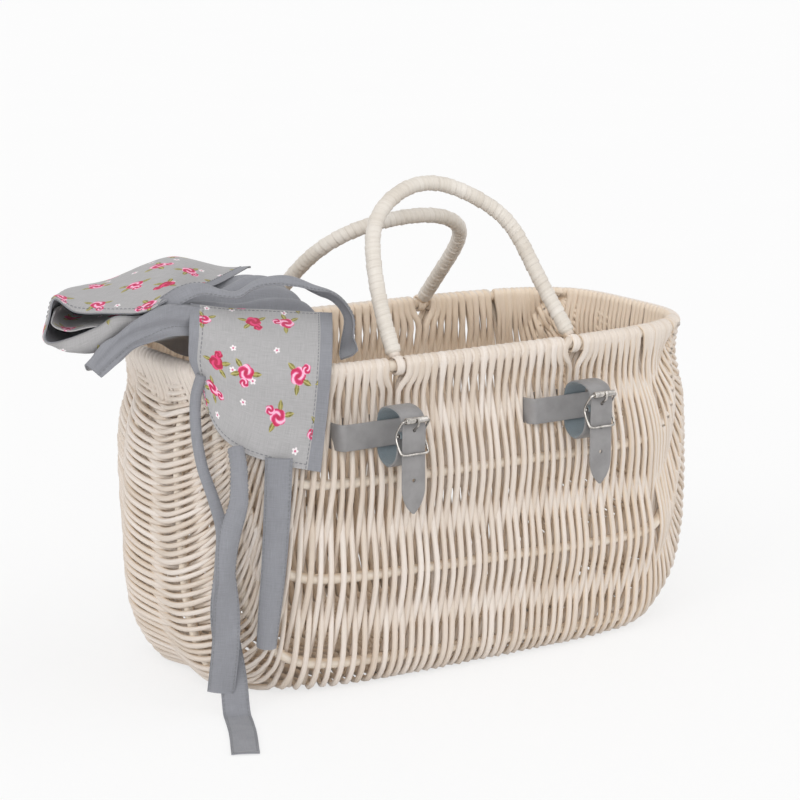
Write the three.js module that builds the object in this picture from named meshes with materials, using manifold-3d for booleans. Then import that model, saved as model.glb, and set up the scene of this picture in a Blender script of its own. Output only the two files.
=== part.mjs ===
// Willow bicycle basket with two wrapped handles, two buckled leather straps and a cotton cover.
// Millimetres, +Z up. The origin is on the floor under the middle of the base, and the straps face -Y.
import * as THREE from 'three';
import { mergeVertices } from 'three/addons/utils/BufferGeometryUtils.js';
import Module from 'manifold-3d';

const wasm = await Module();
wasm.setup();

// Basket body
const RIM_LENGTH = 440;       // between the middles of the hoop's two ends
const RIM_WIDTH = 216;        // between the middles of the hoop's long sides
const RIM_HEIGHT = 246;       // middle of the hoop above the floor
const BASE_LENGTH = 390;      // flat part of the base
const BASE_WIDTH = 186;
const RIM_SQUARENESS = 3.95;  // power of the rounded rectangle: 2 is an ellipse
const WALL = 9;               // woven wall, rods on both sides of a rib
const RIB_DIAMETER = 7;
const HOOP_DIAMETER = 8;
const RIM_WRAP = 2.2;         // thickness of the rods wrapped over the hoop
const FIT = 0.3;              // clearance between neighbouring pieces
const RIM_SEAT = 0.7;         // from the rim's wrapping to the ends of ribs and courses
const RIB_SEAT = 0.8;         // from a rib to the courses beside it

// Wall outline, as shares of the way down and of the way in from the rim to the base
const SIDE_SHAPE = [[0, 0], [0.1, 0.12], [0.25, -0.18], [0.48, -0.25], [0.72, -0.2],
  [0.84, 0], [0.93, 0.36], [0.98, 0.72], [1, 1]];

// Ribs on the front, as shares of the wall's length below the rim, with their rise to the left
const WALL_RIBS = [
  { name: 'upper', share: 0.34, lean: 0.005 },
  { name: 'lower', share: 0.63, lean: 0.015 },
  { name: 'heel', share: 0.92, lean: 0.03 },
];
const BASE_RIB_SPACING = 90;  // between the two ribs under the base
const RIM_COURSE_SHARE = 0.9; // the course under the rim runs out before its rib does
const WEAVE_SQUARENESS = 10;  // power of the weave's pattern: ribs turn up sharply at the corners
const BASE_SHARE = 0.55;      // share of the weave's pattern that lies on the base
const RIB_SPANS = 24;         // straight spans of a rib, shared out by length and by bend
const RIB_SPAN = 50;
const RIB_BEND = 0.36;        // radians
const WOVEN_PASSES = 54;      // passes along a course, each of them standing for a few rods side by side
const PASS_RELIEF = 1.9;      // a pass stands out this far beside one rib and in beside the next
const RELIEF_FADE = 40;       // length of wall over which the relief fades at the base and under the rim

// Handles
const HANDLE_SPAN = 160;      // between the eyes on the rim
const HANDLE_RISE = 146;      // rim to the top of the arch
// Bent by hand, so no two arches are the same: shares of half the span and of the rise
const FRONT_ARCH = [[-1, 0.045], [-1, 0.12], [-0.99, 0.31], [-0.94, 0.5], [-0.89, 0.63], [-0.855, 0.715],
  [-0.8, 0.785], [-0.67, 0.86], [-0.47, 0.93], [-0.26, 0.985], [0, 1], [0.2, 0.97], [0.39, 0.905],
  [0.57, 0.835], [0.69, 0.79], [0.765, 0.73], [0.8, 0.645], [0.835, 0.5], [0.885, 0.335], [0.95, 0.19],
  [0.99, 0.1], [1, 0.045]];
const BACK_ARCH = [[-1, 0.045], [-0.99, 0.12], [-0.96, 0.25], [-0.925, 0.42], [-0.895, 0.58], [-0.86, 0.69],
  [-0.79, 0.795], [-0.65, 0.885], [-0.39, 0.965], [-0.135, 1], [0.14, 0.985], [0.41, 0.95], [0.62, 0.89],
  [0.79, 0.79], [0.9, 0.63], [0.93, 0.42], [0.98, 0.18], [1, 0.045]];
const HANDLE_ROD = 9;
const HANDLE_SKEIN = 1.6;     // thickness of the winding
const HANDLE_TURNS = 24;
const HANDLE_EYE = 14;        // length of an eye along the rim
const EYE_CLEARANCE = 0.6;    // eye to hoop
const FRONT_LEAN = 32;        // degrees, inward
const BACK_LEAN = 50;

// Leather straps with roller buckles
const STRAP_SPACING = 170;
const STRAP_SHIFT = -8;       // middle of the pair, along the front
const STRAP_DROP = 47;        // middle of the buckled loop below the middle of the hoop
const STRAP_WIDTH = 20;
const LEATHER = 1.8;
const LOOP_HEIGHT = 46;
const LOOP_DEPTH = 30;        // wall to the buckle's middle bar
const TAIL_DROP = 55;         // tip below the middle of the loop
const BAND_LEFT = 42;         // from the strap's middle to the band's two slots
const BAND_RIGHT = 16;
const SLOT_ROOM = 3;          // the gap that the band passes is this much larger than the band
const STRAP_SLIDE = 24;       // the strap can be pushed this far to the left on its band
const WIRE = 2.4;
const ROLLER_DIAMETER = 4.8;
const ROLLER_RISE = 15.5;     // roller above the middle of the loop
const KEEPER_DROP = 10;
const PIN_DIAMETER = 2;

// Cotton cover
const CLOTH = 4;              // layers of cloth and hem lying together
const TIE_WIDTH = 20;
const TIE = 1.6;
const TIE_SEAT = 1.5;         // a tie starts this far below the flap's hem

const HALF_LENGTH = RIM_LENGTH / 2;
const HALF_WIDTH = RIM_WIDTH / 2;
const STRAP_HEIGHT = RIM_HEIGHT - STRAP_DROP;
const RIM_BORE = HOOP_DIAMETER / 2 + 2 * FIT;
const RIM_RADIUS = RIM_BORE + RIM_WRAP;

const colours = {
  willow: { color: 0xe6dccb, roughness: 0.62, metalness: 0 },
  skein: { color: 0xeee6d8, roughness: 0.5, metalness: 0 },
  leather: { color: 0x7d8083, roughness: 0.55, metalness: 0 },
  nickel: { color: 0xc9ccd0, roughness: 0.25, metalness: 1 },
  print: { color: 0xb0aeae, roughness: 0.9, metalness: 0 },
  lining: { color: 0x8f9299, roughness: 0.9, metalness: 0 },
};

const basket = new THREE.Group();

function addPiece(parent, name, geometry, finish) {
  const mesh = new THREE.Mesh(geometry, new THREE.MeshStandardMaterial(colours[finish]));
  mesh.name = name;
  parent.add(mesh);
  return mesh;
}

const vec = (x, y, z) => new THREE.Vector3(x, y, z);
const mix = THREE.MathUtils.lerp;

// Solid from points and triangles, turned so that its faces point out
function solidFrom(points, faces) {
  let volume = 0;
  for (let i = 0; i < faces.length; i += 3) {
    const [a, b, c] = [points[faces[i]], points[faces[i + 1]], points[faces[i + 2]]];
    volume += a.dot(vec().crossVectors(b, c));
  }
  const order = volume < 0 ? faces.slice().reverse() : faces;
  const geometry = new THREE.BufferGeometry();
  const places = points.flatMap((p) => p.toArray());
  geometry.setAttribute('position', new THREE.Float32BufferAttribute(places, 3));
  geometry.setIndex(order);
  return geometry;
}

// Solid through rings of equally many points, with flat ends or joined into a loop
function loft(rings, closed = false) {
  const count = rings[0].length;
  const faces = [];
  const spans = closed ? rings.length : rings.length - 1;
  for (let i = 0; i < spans; i += 1) {
    const here = i * count;
    const there = ((i + 1) % rings.length) * count;
    for (let j = 0; j < count; j += 1) {
      const k = (j + 1) % count;
      faces.push(here + j, here + k, there + k, here + j, there + k, there + j);
    }
  }
  const end = (rings.length - 1) * count;
  for (let j = 0; j < count / 2 - 1 && !closed; j += 1) {
    const far = count - 1 - j;
    faces.push(far, far - 1, j + 1, far, j + 1, j);
    faces.push(end + j, end + j + 1, end + far - 1, end + j, end + far - 1, end + far);
  }
  return solidFrom(rings.flat(), faces);
}

// Points round a centre, in the plane of two unit vectors
function circle(centre, side, up, radius, sides) {
  return Array.from({ length: sides }, (_, i) => {
    const turn = (2 * Math.PI * i) / sides;
    return centre.clone()
      .addScaledVector(side, radius * Math.cos(turn))
      .addScaledVector(up, radius * Math.sin(turn));
  });
}

// Tube with a bore along stations that hold a centre, a side and an up vector
function hollowTube(stations, outer, bore, sides) {
  const outside = stations.map((s) => circle(s.centre, s.side, s.up, outer, sides));
  const inside = stations.map((s) => circle(s.centre, s.side, s.up, bore, sides)).reverse();
  const loops = [...outside, ...inside];
  return loft(Array.from({ length: sides }, (_, i) => loops.map((ring) => ring[i])), true);
}

// Sheet of even thickness whose middle is point(s, t), with s along the rings and t across them
function slab(point, stations, cells, thickness) {
  const step = 1e-3;
  const rings = stations.map((s) => {
    const outer = [];
    const inner = [];
    for (let j = 0; j <= cells; j += 1) {
      const t = j / cells;
      const along = point(Math.min(s + step, 1), t).sub(point(Math.max(s - step, 0), t));
      const across = point(s, Math.min(t + step, 1)).sub(point(s, Math.max(t - step, 0)));
      const normal = vec().crossVectors(along, across).normalize();
      outer.push(point(s, t).addScaledVector(normal, thickness / 2));
      inner.push(point(s, t).addScaledVector(normal, -thickness / 2));
    }
    return [...outer, ...inner.reverse()];
  });
  return loft(rings);
}

function evenly(count) {
  return Array.from({ length: count + 1 }, (_, i) => i / count);
}

function toManifold(geometry) {
  const bare = geometry.clone();
  bare.deleteAttribute('normal');
  bare.deleteAttribute('uv');
  const merged = mergeVertices(bare, 1e-4);
  return new wasm.Manifold(new wasm.Mesh({
    numProp: 3,
    vertProperties: new Float32Array(merged.getAttribute('position').array),
    triVerts: new Uint32Array(merged.getIndex().array),
  }));
}

function fromManifold(manifold) {
  const mesh = manifold.getMesh();
  const geometry = new THREE.BufferGeometry();
  geometry.setAttribute('position', new THREE.Float32BufferAttribute(mesh.vertProperties, 3));
  geometry.setIndex(Array.from(mesh.triVerts));
  return geometry;
}

function joined(geometries) {
  return fromManifold(geometries.map(toManifold).reduce((sum, next) => sum.add(next)));
}

function cut(geometry, cutters) {
  const whole = toManifold(geometry);
  return fromManifold(cutters.map(toManifold).reduce((left, next) => left.subtract(next), whole));
}

function box(size, centre) {
  return new THREE.BoxGeometry(size.x, size.y, size.z).translate(centre.x, centre.y, centre.z);
}

// The weave's pattern is a rounded square: its edge is the rim and its middle is the base.
// A rod lies on a line of equal u and a rib on a line of equal v.
const sideCurve = new THREE.CatmullRomCurve3(SIDE_SHAPE.map(([down, inward]) => vec(
  (inward * (RIM_LENGTH - BASE_LENGTH)) / 2,
  (inward * (RIM_WIDTH - BASE_WIDTH)) / 2,
  down * (RIM_HEIGHT - WALL / 2),
)));
const WALL_LENGTH = sideCurve.getLength();

// Size of the rounded square of a given power that passes through a point, and its other coordinate
function squareSize(a, b, power) {
  return (Math.abs(a) ** power + Math.abs(b) ** power) ** (1 / power);
}

function across(size, a, power = WEAVE_SQUARENESS) {
  return Math.max(size ** power - Math.abs(a) ** power, 0) ** (1 / power);
}

function weavePoint(u, v) {
  const size = squareSize(u, v, WEAVE_SQUARENESS);
  const outline = Math.max(squareSize(u, v, RIM_SQUARENESS), 1e-9);
  const side = sideCurve.getPointAt(THREE.MathUtils.clamp((1 - size) / (1 - BASE_SHARE), 0, 1));
  const spread = Math.min(size / BASE_SHARE, 1) / outline;
  const [long, wide] = [HALF_LENGTH - side.x, HALF_WIDTH - side.y];
  return vec(long * u * spread, wide * v * spread, RIM_HEIGHT - side.z);
}

function weaveAxes(u, v) {
  const step = 1e-4;
  const alongU = weavePoint(u + step, v).sub(weavePoint(u - step, v)).divideScalar(2 * step);
  const alongV = weavePoint(u, v + step).sub(weavePoint(u, v - step)).divideScalar(2 * step);
  return { alongU, alongV, normal: vec().crossVectors(alongV, alongU).normalize() };
}

// Size of the pattern's outline that runs a distance below the middle of the rim
function outlineBelow(distance) {
  return 1 - ((1 - BASE_SHARE) * distance) / WALL_LENGTH;
}

const WEAVE_TOP = outlineBelow(RIM_RADIUS + RIM_SEAT);
const SLANTED_RIB_TOP = outlineBelow(RIM_RADIUS + RIM_SEAT + RIB_DIAMETER / 2);
const BASE_RIB_PLACE = (BASE_SHARE * BASE_RIB_SPACING) / BASE_WIDTH;
const frontRibs = WALL_RIBS.map((rib) => ({
  name: `front_${rib.name}_rib`,
  place: -(1 - (1 - BASE_SHARE) * rib.share),
  lean: -rib.lean,
  top: SLANTED_RIB_TOP,
}));
const backRibs = WALL_RIBS.map((rib) => ({
  name: `back_${rib.name}_rib`,
  place: 1 - (1 - BASE_SHARE) * rib.share,
  lean: rib.lean,
  top: SLANTED_RIB_TOP,
})).reverse();
const ribs = [
  ...frontRibs,
  { name: 'front_base_rib', place: -BASE_RIB_PLACE, lean: 0, top: WEAVE_TOP },
  { name: 'back_base_rib', place: BASE_RIB_PLACE, lean: 0, top: WEAVE_TOP },
  ...backRibs,
];

// Place along a rib: f runs from -1 at the left end of the rim to 1 at the right end
function ribPlace(rib, f) {
  let v = rib.place;
  let u = f * across(rib.top, v);
  for (let i = 0; i < 6; i += 1) {
    v = rib.place - rib.lean * u;
    u = f * across(rib.top, v);
  }
  return { u, v };
}

// A rib's line moved sideways until a course beside it clears the rib
function besideRib(rib, u, direction) {
  const v = rib.place - rib.lean * u;
  const { alongU, alongV } = weaveAxes(u, v);
  const spread = vec().crossVectors(alongU, alongV).length() / alongU.length();
  return v + (direction * (RIB_DIAMETER / 2 + RIB_SEAT)) / spread;
}

// Stations from one end of the rim to the other, closer together where the wall bends
const LENGTHWAYS = evenly(20).map((s) => {
  const f = 2 * s - 1;
  return 0.5 + 0.25 * f + 0.25 * Math.sin((f * Math.PI) / 2);
});

// Stations along a line of points, closer together where it bends
function bendStations(point, spans) {
  const samples = evenly(400);
  const points = samples.map(point);
  const shares = [0];
  for (let i = 1; i < points.length; i += 1) {
    const before = points[i].clone().sub(points[i - 1]);
    const after = points[Math.min(i + 1, points.length - 1)].clone().sub(points[i]);
    const bend = after.length() > 0 ? before.angleTo(after) : 0;
    shares.push(shares[i - 1] + before.length() / RIB_SPAN + bend / RIB_BEND);
  }
  return evenly(spans).map((share) => {
    const wanted = share * shares[shares.length - 1];
    const next = Math.max(shares.findIndex((value) => value >= wanted), 1);
    const part = (wanted - shares[next - 1]) / (shares[next] - shares[next - 1]);
    return mix(samples[next - 1], samples[next], part);
  });
}

function ribSolid(rib) {
  const sides = 6;
  const middle = (s) => {
    const { u, v } = ribPlace(rib, 2 * s - 1);
    return weavePoint(u, v);
  };
  const rings = bendStations(middle, RIB_SPANS).map((s) => {
    const step = 5e-4;
    const { u, v } = ribPlace(rib, 2 * s - 1);
    const along = middle(s + step).sub(middle(s - step)).normalize();
    const { normal } = weaveAxes(u, v);
    const side = vec().crossVectors(along, normal).normalize();
    return circle(weavePoint(u, v), side, vec().crossVectors(side, along), RIB_DIAMETER / 2, sides);
  });
  return loft(rings);
}

// Woven course between two ribs: every other pass is outside the first rib, and inside the second
function courseSolid(first, second, outside) {
  const place = (s, t) => {
    const f = 2 * s - 1;
    const [from, to] = [ribPlace(first, f).u, ribPlace(second, f).u];
    const [low, high] = [besideRib(first, from, 1), besideRib(second, to, -1)];
    return [mix(from, to, t), mix(low, high, t)];
  };
  const middle = new THREE.CatmullRomCurve3(evenly(4 * WOVEN_PASSES).map((s) => weavePoint(...place(s, 0.5))));
  const baseEdge = [BASE_SHARE, outlineBelow(WALL_LENGTH - RELIEF_FADE)];
  const rimEdge = [outlineBelow(RIM_RADIUS + RIM_SEAT + RELIEF_FADE), WEAVE_TOP];
  const point = (pass, t) => {
    const [u, v] = place(middle.getUtoTmapping(pass), t);
    const size = squareSize(u, v, WEAVE_SQUARENESS);
    const fade = THREE.MathUtils.smoothstep(size, ...baseEdge) - THREE.MathUtils.smoothstep(size, ...rimEdge);
    const wave = Math.cos(Math.PI * WOVEN_PASSES * pass) * Math.cos(Math.PI * t);
    return weavePoint(u, v).addScaledVector(weaveAxes(u, v).normal, outside * PASS_RELIEF * fade * wave);
  };
  return slab(point, evenly(WOVEN_PASSES), 2, WALL);
}

// Woven course between the rim and the first rib on the front or back
function rimCourseSolid(rib) {
  const towardsRim = Math.sign(rib.place);
  const end = RIM_COURSE_SHARE * across(WEAVE_TOP, rib.place);
  const point = (s, t) => {
    const u = (2 * s - 1) * end;
    const v = mix(towardsRim * across(WEAVE_TOP, u), besideRib(rib, u, towardsRim), t);
    return weavePoint(u, v);
  };
  return slab(point, LENGTHWAYS, 2, WALL);
}

// Half of the wall's outline at a height, and the front wall's outer face there
function sideAtHeight(z) {
  let low = 0;
  let high = 1;
  for (let i = 0; i < 40; i += 1) {
    const middle = (low + high) / 2;
    if (sideCurve.getPointAt(middle).z < RIM_HEIGHT - z) {
      low = middle;
    } else {
      high = middle;
    }
  }
  return sideCurve.getPointAt(low);
}

function frontFace(x, z) {
  const side = sideAtHeight(z);
  return -(HALF_WIDTH - side.y) * across(1, x / (HALF_LENGTH - side.x), RIM_SQUARENESS) - WALL / 2;
}

// The furthest that the wall stands out behind a strap's rear run, wherever the strap slides
function strapSeat(x) {
  const from = x - STRAP_SLIDE - STRAP_WIDTH / 2;
  const to = x + STRAP_WIDTH / 2;
  const places = evenly(6).flatMap((a) => [-1, 0, 1].map((b) => frontFace(
    mix(from, to, a),
    STRAP_HEIGHT + (b * LOOP_HEIGHT) / 3,
  )));
  return Math.min(...places);
}

// Rim hoop and its wrapping, which leaves room for the four handle eyes
function rimStation(angle) {
  const c = Math.cos(angle);
  const s = Math.sin(angle);
  const place = (a) => vec(
    HALF_LENGTH * Math.sign(Math.cos(a)) * Math.abs(Math.cos(a)) ** (2 / RIM_SQUARENESS),
    HALF_WIDTH * Math.sign(Math.sin(a)) * Math.abs(Math.sin(a)) ** (2 / RIM_SQUARENESS),
    RIM_HEIGHT,
  );
  const outward = vec(
    (Math.sign(c) * Math.abs(c) ** (2 - 2 / RIM_SQUARENESS)) / HALF_LENGTH,
    (Math.sign(s) * Math.abs(s) ** (2 - 2 / RIM_SQUARENESS)) / HALF_WIDTH,
    0,
  ).normalize();
  return { centre: place(angle), side: outward, up: vec(0, 0, 1) };
}

function rimAngle(x) {
  return Math.acos(Math.sign(x) * (Math.abs(x) / HALF_LENGTH) ** (RIM_SQUARENESS / 2));
}

function hoopSolid() {
  const steps = 48;
  const rings = evenly(steps).slice(0, steps).map((s) => {
    const station = rimStation(2 * Math.PI * s);
    return circle(station.centre, station.side, station.up, HOOP_DIAMETER / 2, 6);
  });
  return loft(rings, true);
}

function rimWrapSolid(from, to, steps) {
  const stations = evenly(steps).map((s) => rimStation(mix(from, to, s)));
  return hollowTube(stations, RIM_RADIUS, RIM_BORE, 8);
}

function buildBody() {
  addPiece(basket, 'rim_hoop', hoopSolid(), 'willow');
  ribs.forEach((rib) => addPiece(basket, rib.name, ribSolid(rib), 'willow'));
  const slots = straps.flatMap((strap) => [strap.x - BAND_LEFT, strap.x + BAND_RIGHT].map((x) => box(
    vec(LEATHER + SLOT_ROOM, 4 * WALL, STRAP_WIDTH + SLOT_ROOM),
    vec(x, frontFace(x, STRAP_HEIGHT) + WALL / 2, STRAP_HEIGHT + SLOT_ROOM / 2 - FIT),
  )));
  addPiece(basket, 'front_rim_course', cut(rimCourseSolid(ribs[0]), slots), 'willow');
  const courseNames = ['front_middle_course', 'front_lower_course', 'front_base_course',
    'middle_base_course', 'back_base_course', 'back_lower_course', 'back_middle_course'];
  courseNames.forEach((name, i) => {
    const outside = i % 2 === 0 ? 1 : -1;
    addPiece(basket, name, courseSolid(ribs[i], ribs[i + 1], outside), 'willow');
  });
  addPiece(basket, 'back_rim_course', rimCourseSolid(ribs[ribs.length - 1]), 'willow');
  const clear = HANDLE_EYE / 2 + 2 * FIT;
  const inner = rimAngle(HANDLE_SPAN / 2 - clear);
  const outer = rimAngle(HANDLE_SPAN / 2 + clear);
  addPiece(basket, 'back_rim_wrap', rimWrapSolid(inner, Math.PI - inner, 5), 'willow');
  addPiece(basket, 'left_rim_wrap', rimWrapSolid(Math.PI - outer, Math.PI + outer, 20), 'willow');
  addPiece(basket, 'front_rim_wrap', rimWrapSolid(-inner, inner - Math.PI, 5), 'willow');
  addPiece(basket, 'right_rim_wrap', rimWrapSolid(-outer, outer, 20), 'willow');
}

// The rim curves in a little towards its corners, so the eyes are nearer than its middle
const EYE_PLACE = HALF_WIDTH * across(1, HANDLE_SPAN / RIM_LENGTH, RIM_SQUARENESS);

// Arch of a handle in its own plane: x along the rim, z up from the rim's middle
function archCurve(arch) {
  return new THREE.CatmullRomCurve3(arch.map(([run, rise]) => vec(
    (run * HANDLE_SPAN) / 2,
    0,
    rise * HANDLE_RISE,
  )));
}

function archStation(curve, s) {
  const place = THREE.MathUtils.clamp(s, 0, 1);
  const along = curve.getTangentAt(place);
  const side = vec(0, 1, 0);
  return { centre: curve.getPointAt(place), side, up: vec().crossVectors(along, side) };
}

function handleRodSolid(curve) {
  const rings = evenly(28).map((s) => {
    const station = archStation(curve, s);
    return circle(station.centre, station.side, station.up, HANDLE_ROD / 2, 8);
  });
  const bore = HOOP_DIAMETER / 2 + EYE_CLEARANCE;
  const eyes = [-1, 1].map((end) => hollowTube([-1, 1].map((edge) => ({
    centre: vec((end * HANDLE_SPAN + edge * HANDLE_EYE) / 2, 0, 0),
    side: vec(0, 1, 0),
    up: vec(0, 0, 1),
  })), RIM_RADIUS, bore, 12));
  return joined([loft(rings), ...eyes]);
}

// Flat skein wound round the rod, and the least gap between its turns
function windingRings(curve) {
  const steps = 8;
  const length = curve.getLength();
  const start = (RIM_RADIUS + FIT) / length;
  const pitch = (1 - 2 * start) / HANDLE_TURNS;
  const half = pitch / 2 - 0.6 / length;
  const inner = HANDLE_ROD / 2 + 3 * FIT;
  const edge = (s, turn, radius) => {
    const station = archStation(curve, s);
    const angle = 2 * Math.PI * turn;
    return station.centre.addScaledVector(station.side, radius * Math.cos(angle))
      .addScaledVector(station.up, radius * Math.sin(angle));
  };
  const turns = HANDLE_TURNS - 1;
  return evenly(turns * steps).map((share) => {
    const middle = start + pitch * (0.5 + share * turns);
    const turn = share * turns;
    return [
      edge(middle - half, turn, inner),
      edge(middle + half, turn, inner),
      edge(middle + half, turn, inner + HANDLE_SKEIN),
      edge(middle - half, turn, inner + HANDLE_SKEIN),
    ];
  });
}

function leastGap(rings, skip) {
  let least = Infinity;
  rings.forEach((ring, i) => {
    for (let j = i + skip; j < rings.length; j += 1) {
      ring.forEach((a) => rings[j].forEach((b) => {
        least = Math.min(least, a.distanceTo(b));
      }));
    }
  });
  return least;
}

function buildHandle(name, y, turned, arch, lean) {
  const handle = new THREE.Group();
  handle.position.set(0, y, RIM_HEIGHT);
  handle.rotation.z = turned;
  const tilted = new THREE.Group();
  tilted.rotation.x = -THREE.MathUtils.degToRad(lean);
  handle.add(tilted);
  basket.add(handle);
  const curve = archCurve(arch);
  addPiece(tilted, `${name}_handle_rod`, handleRodSolid(curve), 'willow');
  const rings = windingRings(curve);
  console.log(`${name}_handle_winding: least gap to itself ${leastGap(rings, 6).toFixed(2)} mm`);
  addPiece(tilted, `${name}_handle_winding`, loft(rings), 'skein');
}

// Straps: places are outward from the wall's outer face and up from the middle of the loop
const straps = [-1, 1].map((side) => ({
  name: side < 0 ? 'left' : 'right',
  x: STRAP_SHIFT + (side * STRAP_SPACING) / 2,
}));
const BAR_RISE = 3;
const REAR_RUN = FIT + LEATHER / 2;
const BAND_RUN = REAR_RUN + LEATHER + FIT;
const CURL = WIRE / 2 + FIT + LEATHER / 2;
const TAIL_RUN = LOOP_DEPTH + CURL + LEATHER + FIT;
const ROLLER_RUN = TAIL_RUN + LEATHER / 2 + FIT + ROLLER_DIAMETER / 2;
const KEEPER_RUN = TAIL_RUN + LEATHER / 2 + FIT + WIRE / 2;
const FRAME_HALF = STRAP_WIDTH / 2 + FIT + WIRE / 2 + 0.5;
const PIN_TOP_RUN = ROLLER_RUN + ROLLER_DIAMETER / 2 + FIT + PIN_DIAMETER / 2;

function strapPath() {
  const curl = evenly(6).map((s) => {
    const angle = mix(-0.15, 1, s) * Math.PI;
    return [LOOP_DEPTH + CURL * Math.cos(angle), BAR_RISE + CURL * Math.sin(angle)];
  });
  const half = LOOP_HEIGHT / 2 - LEATHER / 2;
  const middle = LOOP_DEPTH / 2;
  const loop = new THREE.CatmullRomCurve3([
    [LOOP_DEPTH - CURL, BAR_RISE - 2], [LOOP_DEPTH - CURL, -half * 0.4],
    [LOOP_DEPTH - CURL - 3, -half * 0.74], [middle, -half], [REAR_RUN + 3, -half * 0.8],
    [REAR_RUN, -half * 0.52], [REAR_RUN, 0], [REAR_RUN, half * 0.52],
    [REAR_RUN + 3, half * 0.8], [middle, half], [TAIL_RUN - 4, half * 0.86], [TAIL_RUN, ROLLER_RISE - 4],
    [TAIL_RUN, -KEEPER_DROP], [TAIL_RUN, -TAIL_DROP],
  ].map(([run, rise]) => vec(run, rise, 0)));
  const rest = evenly(32).map((s) => {
    const point = loop.getPointAt(s);
    return [point.x, point.y];
  });
  return [...curl, ...rest];
}

function strapSolid() {
  const path = strapPath();
  const tip = STRAP_WIDTH * 0.6;
  const rings = path.map(([run, rise], i) => {
    const before = path[Math.max(i - 1, 0)];
    const after = path[Math.min(i + 1, path.length - 1)];
    const along = new THREE.Vector2(after[0] - before[0], after[1] - before[1]).normalize();
    const side = new THREE.Vector2(-along.y, along.x).multiplyScalar(LEATHER / 2);
    const left = run === TAIL_RUN ? rise + TAIL_DROP : tip;
    const taper = Math.sqrt(Math.min(Math.max(left, 0) / tip, 1));
    const half = (STRAP_WIDTH / 2) * mix(0.2, 1, taper);
    return [
      vec(-half, -(run + side.x), rise + side.y),
      vec(half, -(run + side.x), rise + side.y),
      vec(half, -(run - side.x), rise - side.y),
      vec(-half, -(run - side.x), rise - side.y),
    ];
  });
  const slotTop = ROLLER_RISE - ROLLER_DIAMETER / 2 - 1;
  const pinSlot = box(vec(2 * PIN_DIAMETER + FIT, 6 * CURL, slotTop), vec(0, -LOOP_DEPTH, slotTop / 2));
  const holes = [-1, 1].map((step) => new THREE.CylinderGeometry(1.8, 1.8, 6 * LEATHER, 8)
    .translate(0, -TAIL_RUN, -KEEPER_DROP - 6 + step * 6));
  return cut(loft(rings), [pinSlot, ...holes]);
}

function bandSolid(x) {
  const left = x - BAND_LEFT;
  const right = x + BAND_RIGHT;
  const outside = BAND_RUN - strapSeat(x);
  const inside = (end) => -frontFace(end, STRAP_HEIGHT) - WALL - 2 * LEATHER;
  const outline = new THREE.CatmullRomCurve3([
    [left, outside - 4], [left + 3, outside], [left + 6, outside],
    [right - 6, outside], [right - 3, outside], [right, outside - 4],
    [right, inside(right) + 3], [right - 3, inside(right)],
    [left + 3, inside(left)], [left, inside(left) + 3],
  ].map(([px, run]) => vec(px, -run, STRAP_HEIGHT)), true, 'catmullrom', 0.2);
  const steps = 32;
  const rings = evenly(steps).slice(0, steps).map((s) => {
    const point = outline.getPointAt(s);
    const along = outline.getTangentAt(s);
    const side = vec(-along.y, along.x, 0).multiplyScalar(LEATHER / 2);
    const up = vec(0, 0, STRAP_WIDTH / 2);
    return [
      point.clone().add(side).add(up),
      point.clone().sub(side).add(up),
      point.clone().sub(side).sub(up),
      point.clone().add(side).sub(up),
    ];
  });
  return loft(rings, true);
}

function rodAlongX(half, run, rise, radius, sides) {
  const ring = (x) => circle(vec(x, -run, rise), vec(0, 1, 0), vec(0, 0, 1), radius, sides);
  return loft([ring(-half), ring(half)]);
}

function buckleFrameSolid() {
  const h = FRAME_HALF;
  const outline = new THREE.CatmullRomCurve3([
    [-h + 3, ROLLER_RUN, ROLLER_RISE], [h - 3, ROLLER_RUN, ROLLER_RISE],
    [h - 0.6, ROLLER_RUN - 0.6, ROLLER_RISE - 1], [h, ROLLER_RUN - 3, ROLLER_RISE - 4],
    [h, LOOP_DEPTH, BAR_RISE], [h, KEEPER_RUN - 2, 3 - KEEPER_DROP],
    [h - 0.6, KEEPER_RUN - 0.4, 0.8 - KEEPER_DROP], [h - 3, KEEPER_RUN, -KEEPER_DROP],
    [3 - h, KEEPER_RUN, -KEEPER_DROP], [0.6 - h, KEEPER_RUN - 0.4, 0.8 - KEEPER_DROP],
    [-h, KEEPER_RUN - 2, 3 - KEEPER_DROP], [-h, LOOP_DEPTH, BAR_RISE],
    [-h, ROLLER_RUN - 3, ROLLER_RISE - 4], [0.6 - h, ROLLER_RUN - 0.6, ROLLER_RISE - 1],
  ].map(([x, run, rise]) => vec(x, -run, rise)), true, 'catmullrom', 0.3);
  const steps = 36;
  const rings = evenly(steps).slice(0, steps).map((s) => {
    const along = outline.getTangentAt(s);
    const point = outline.getPointAt(s);
    const out = vec(point.x / 2, 0, point.z - BAR_RISE);
    const side = vec().crossVectors(along, out).normalize();
    return circle(point, side, vec().crossVectors(side, along).normalize(), WIRE / 2, 6);
  });
  return joined([loft(rings, true), rodAlongX(h, LOOP_DEPTH, BAR_RISE, WIRE / 2, 8)]);
}

function rollerSolid() {
  const stations = [-1, 1].map((end) => ({
    centre: vec(end * (STRAP_WIDTH / 2 - 1), -ROLLER_RUN, ROLLER_RISE),
    side: vec(0, 1, 0),
    up: vec(0, 0, 1),
  }));
  return hollowTube(stations, ROLLER_DIAMETER / 2, WIRE / 2 + FIT, 10);
}

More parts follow.
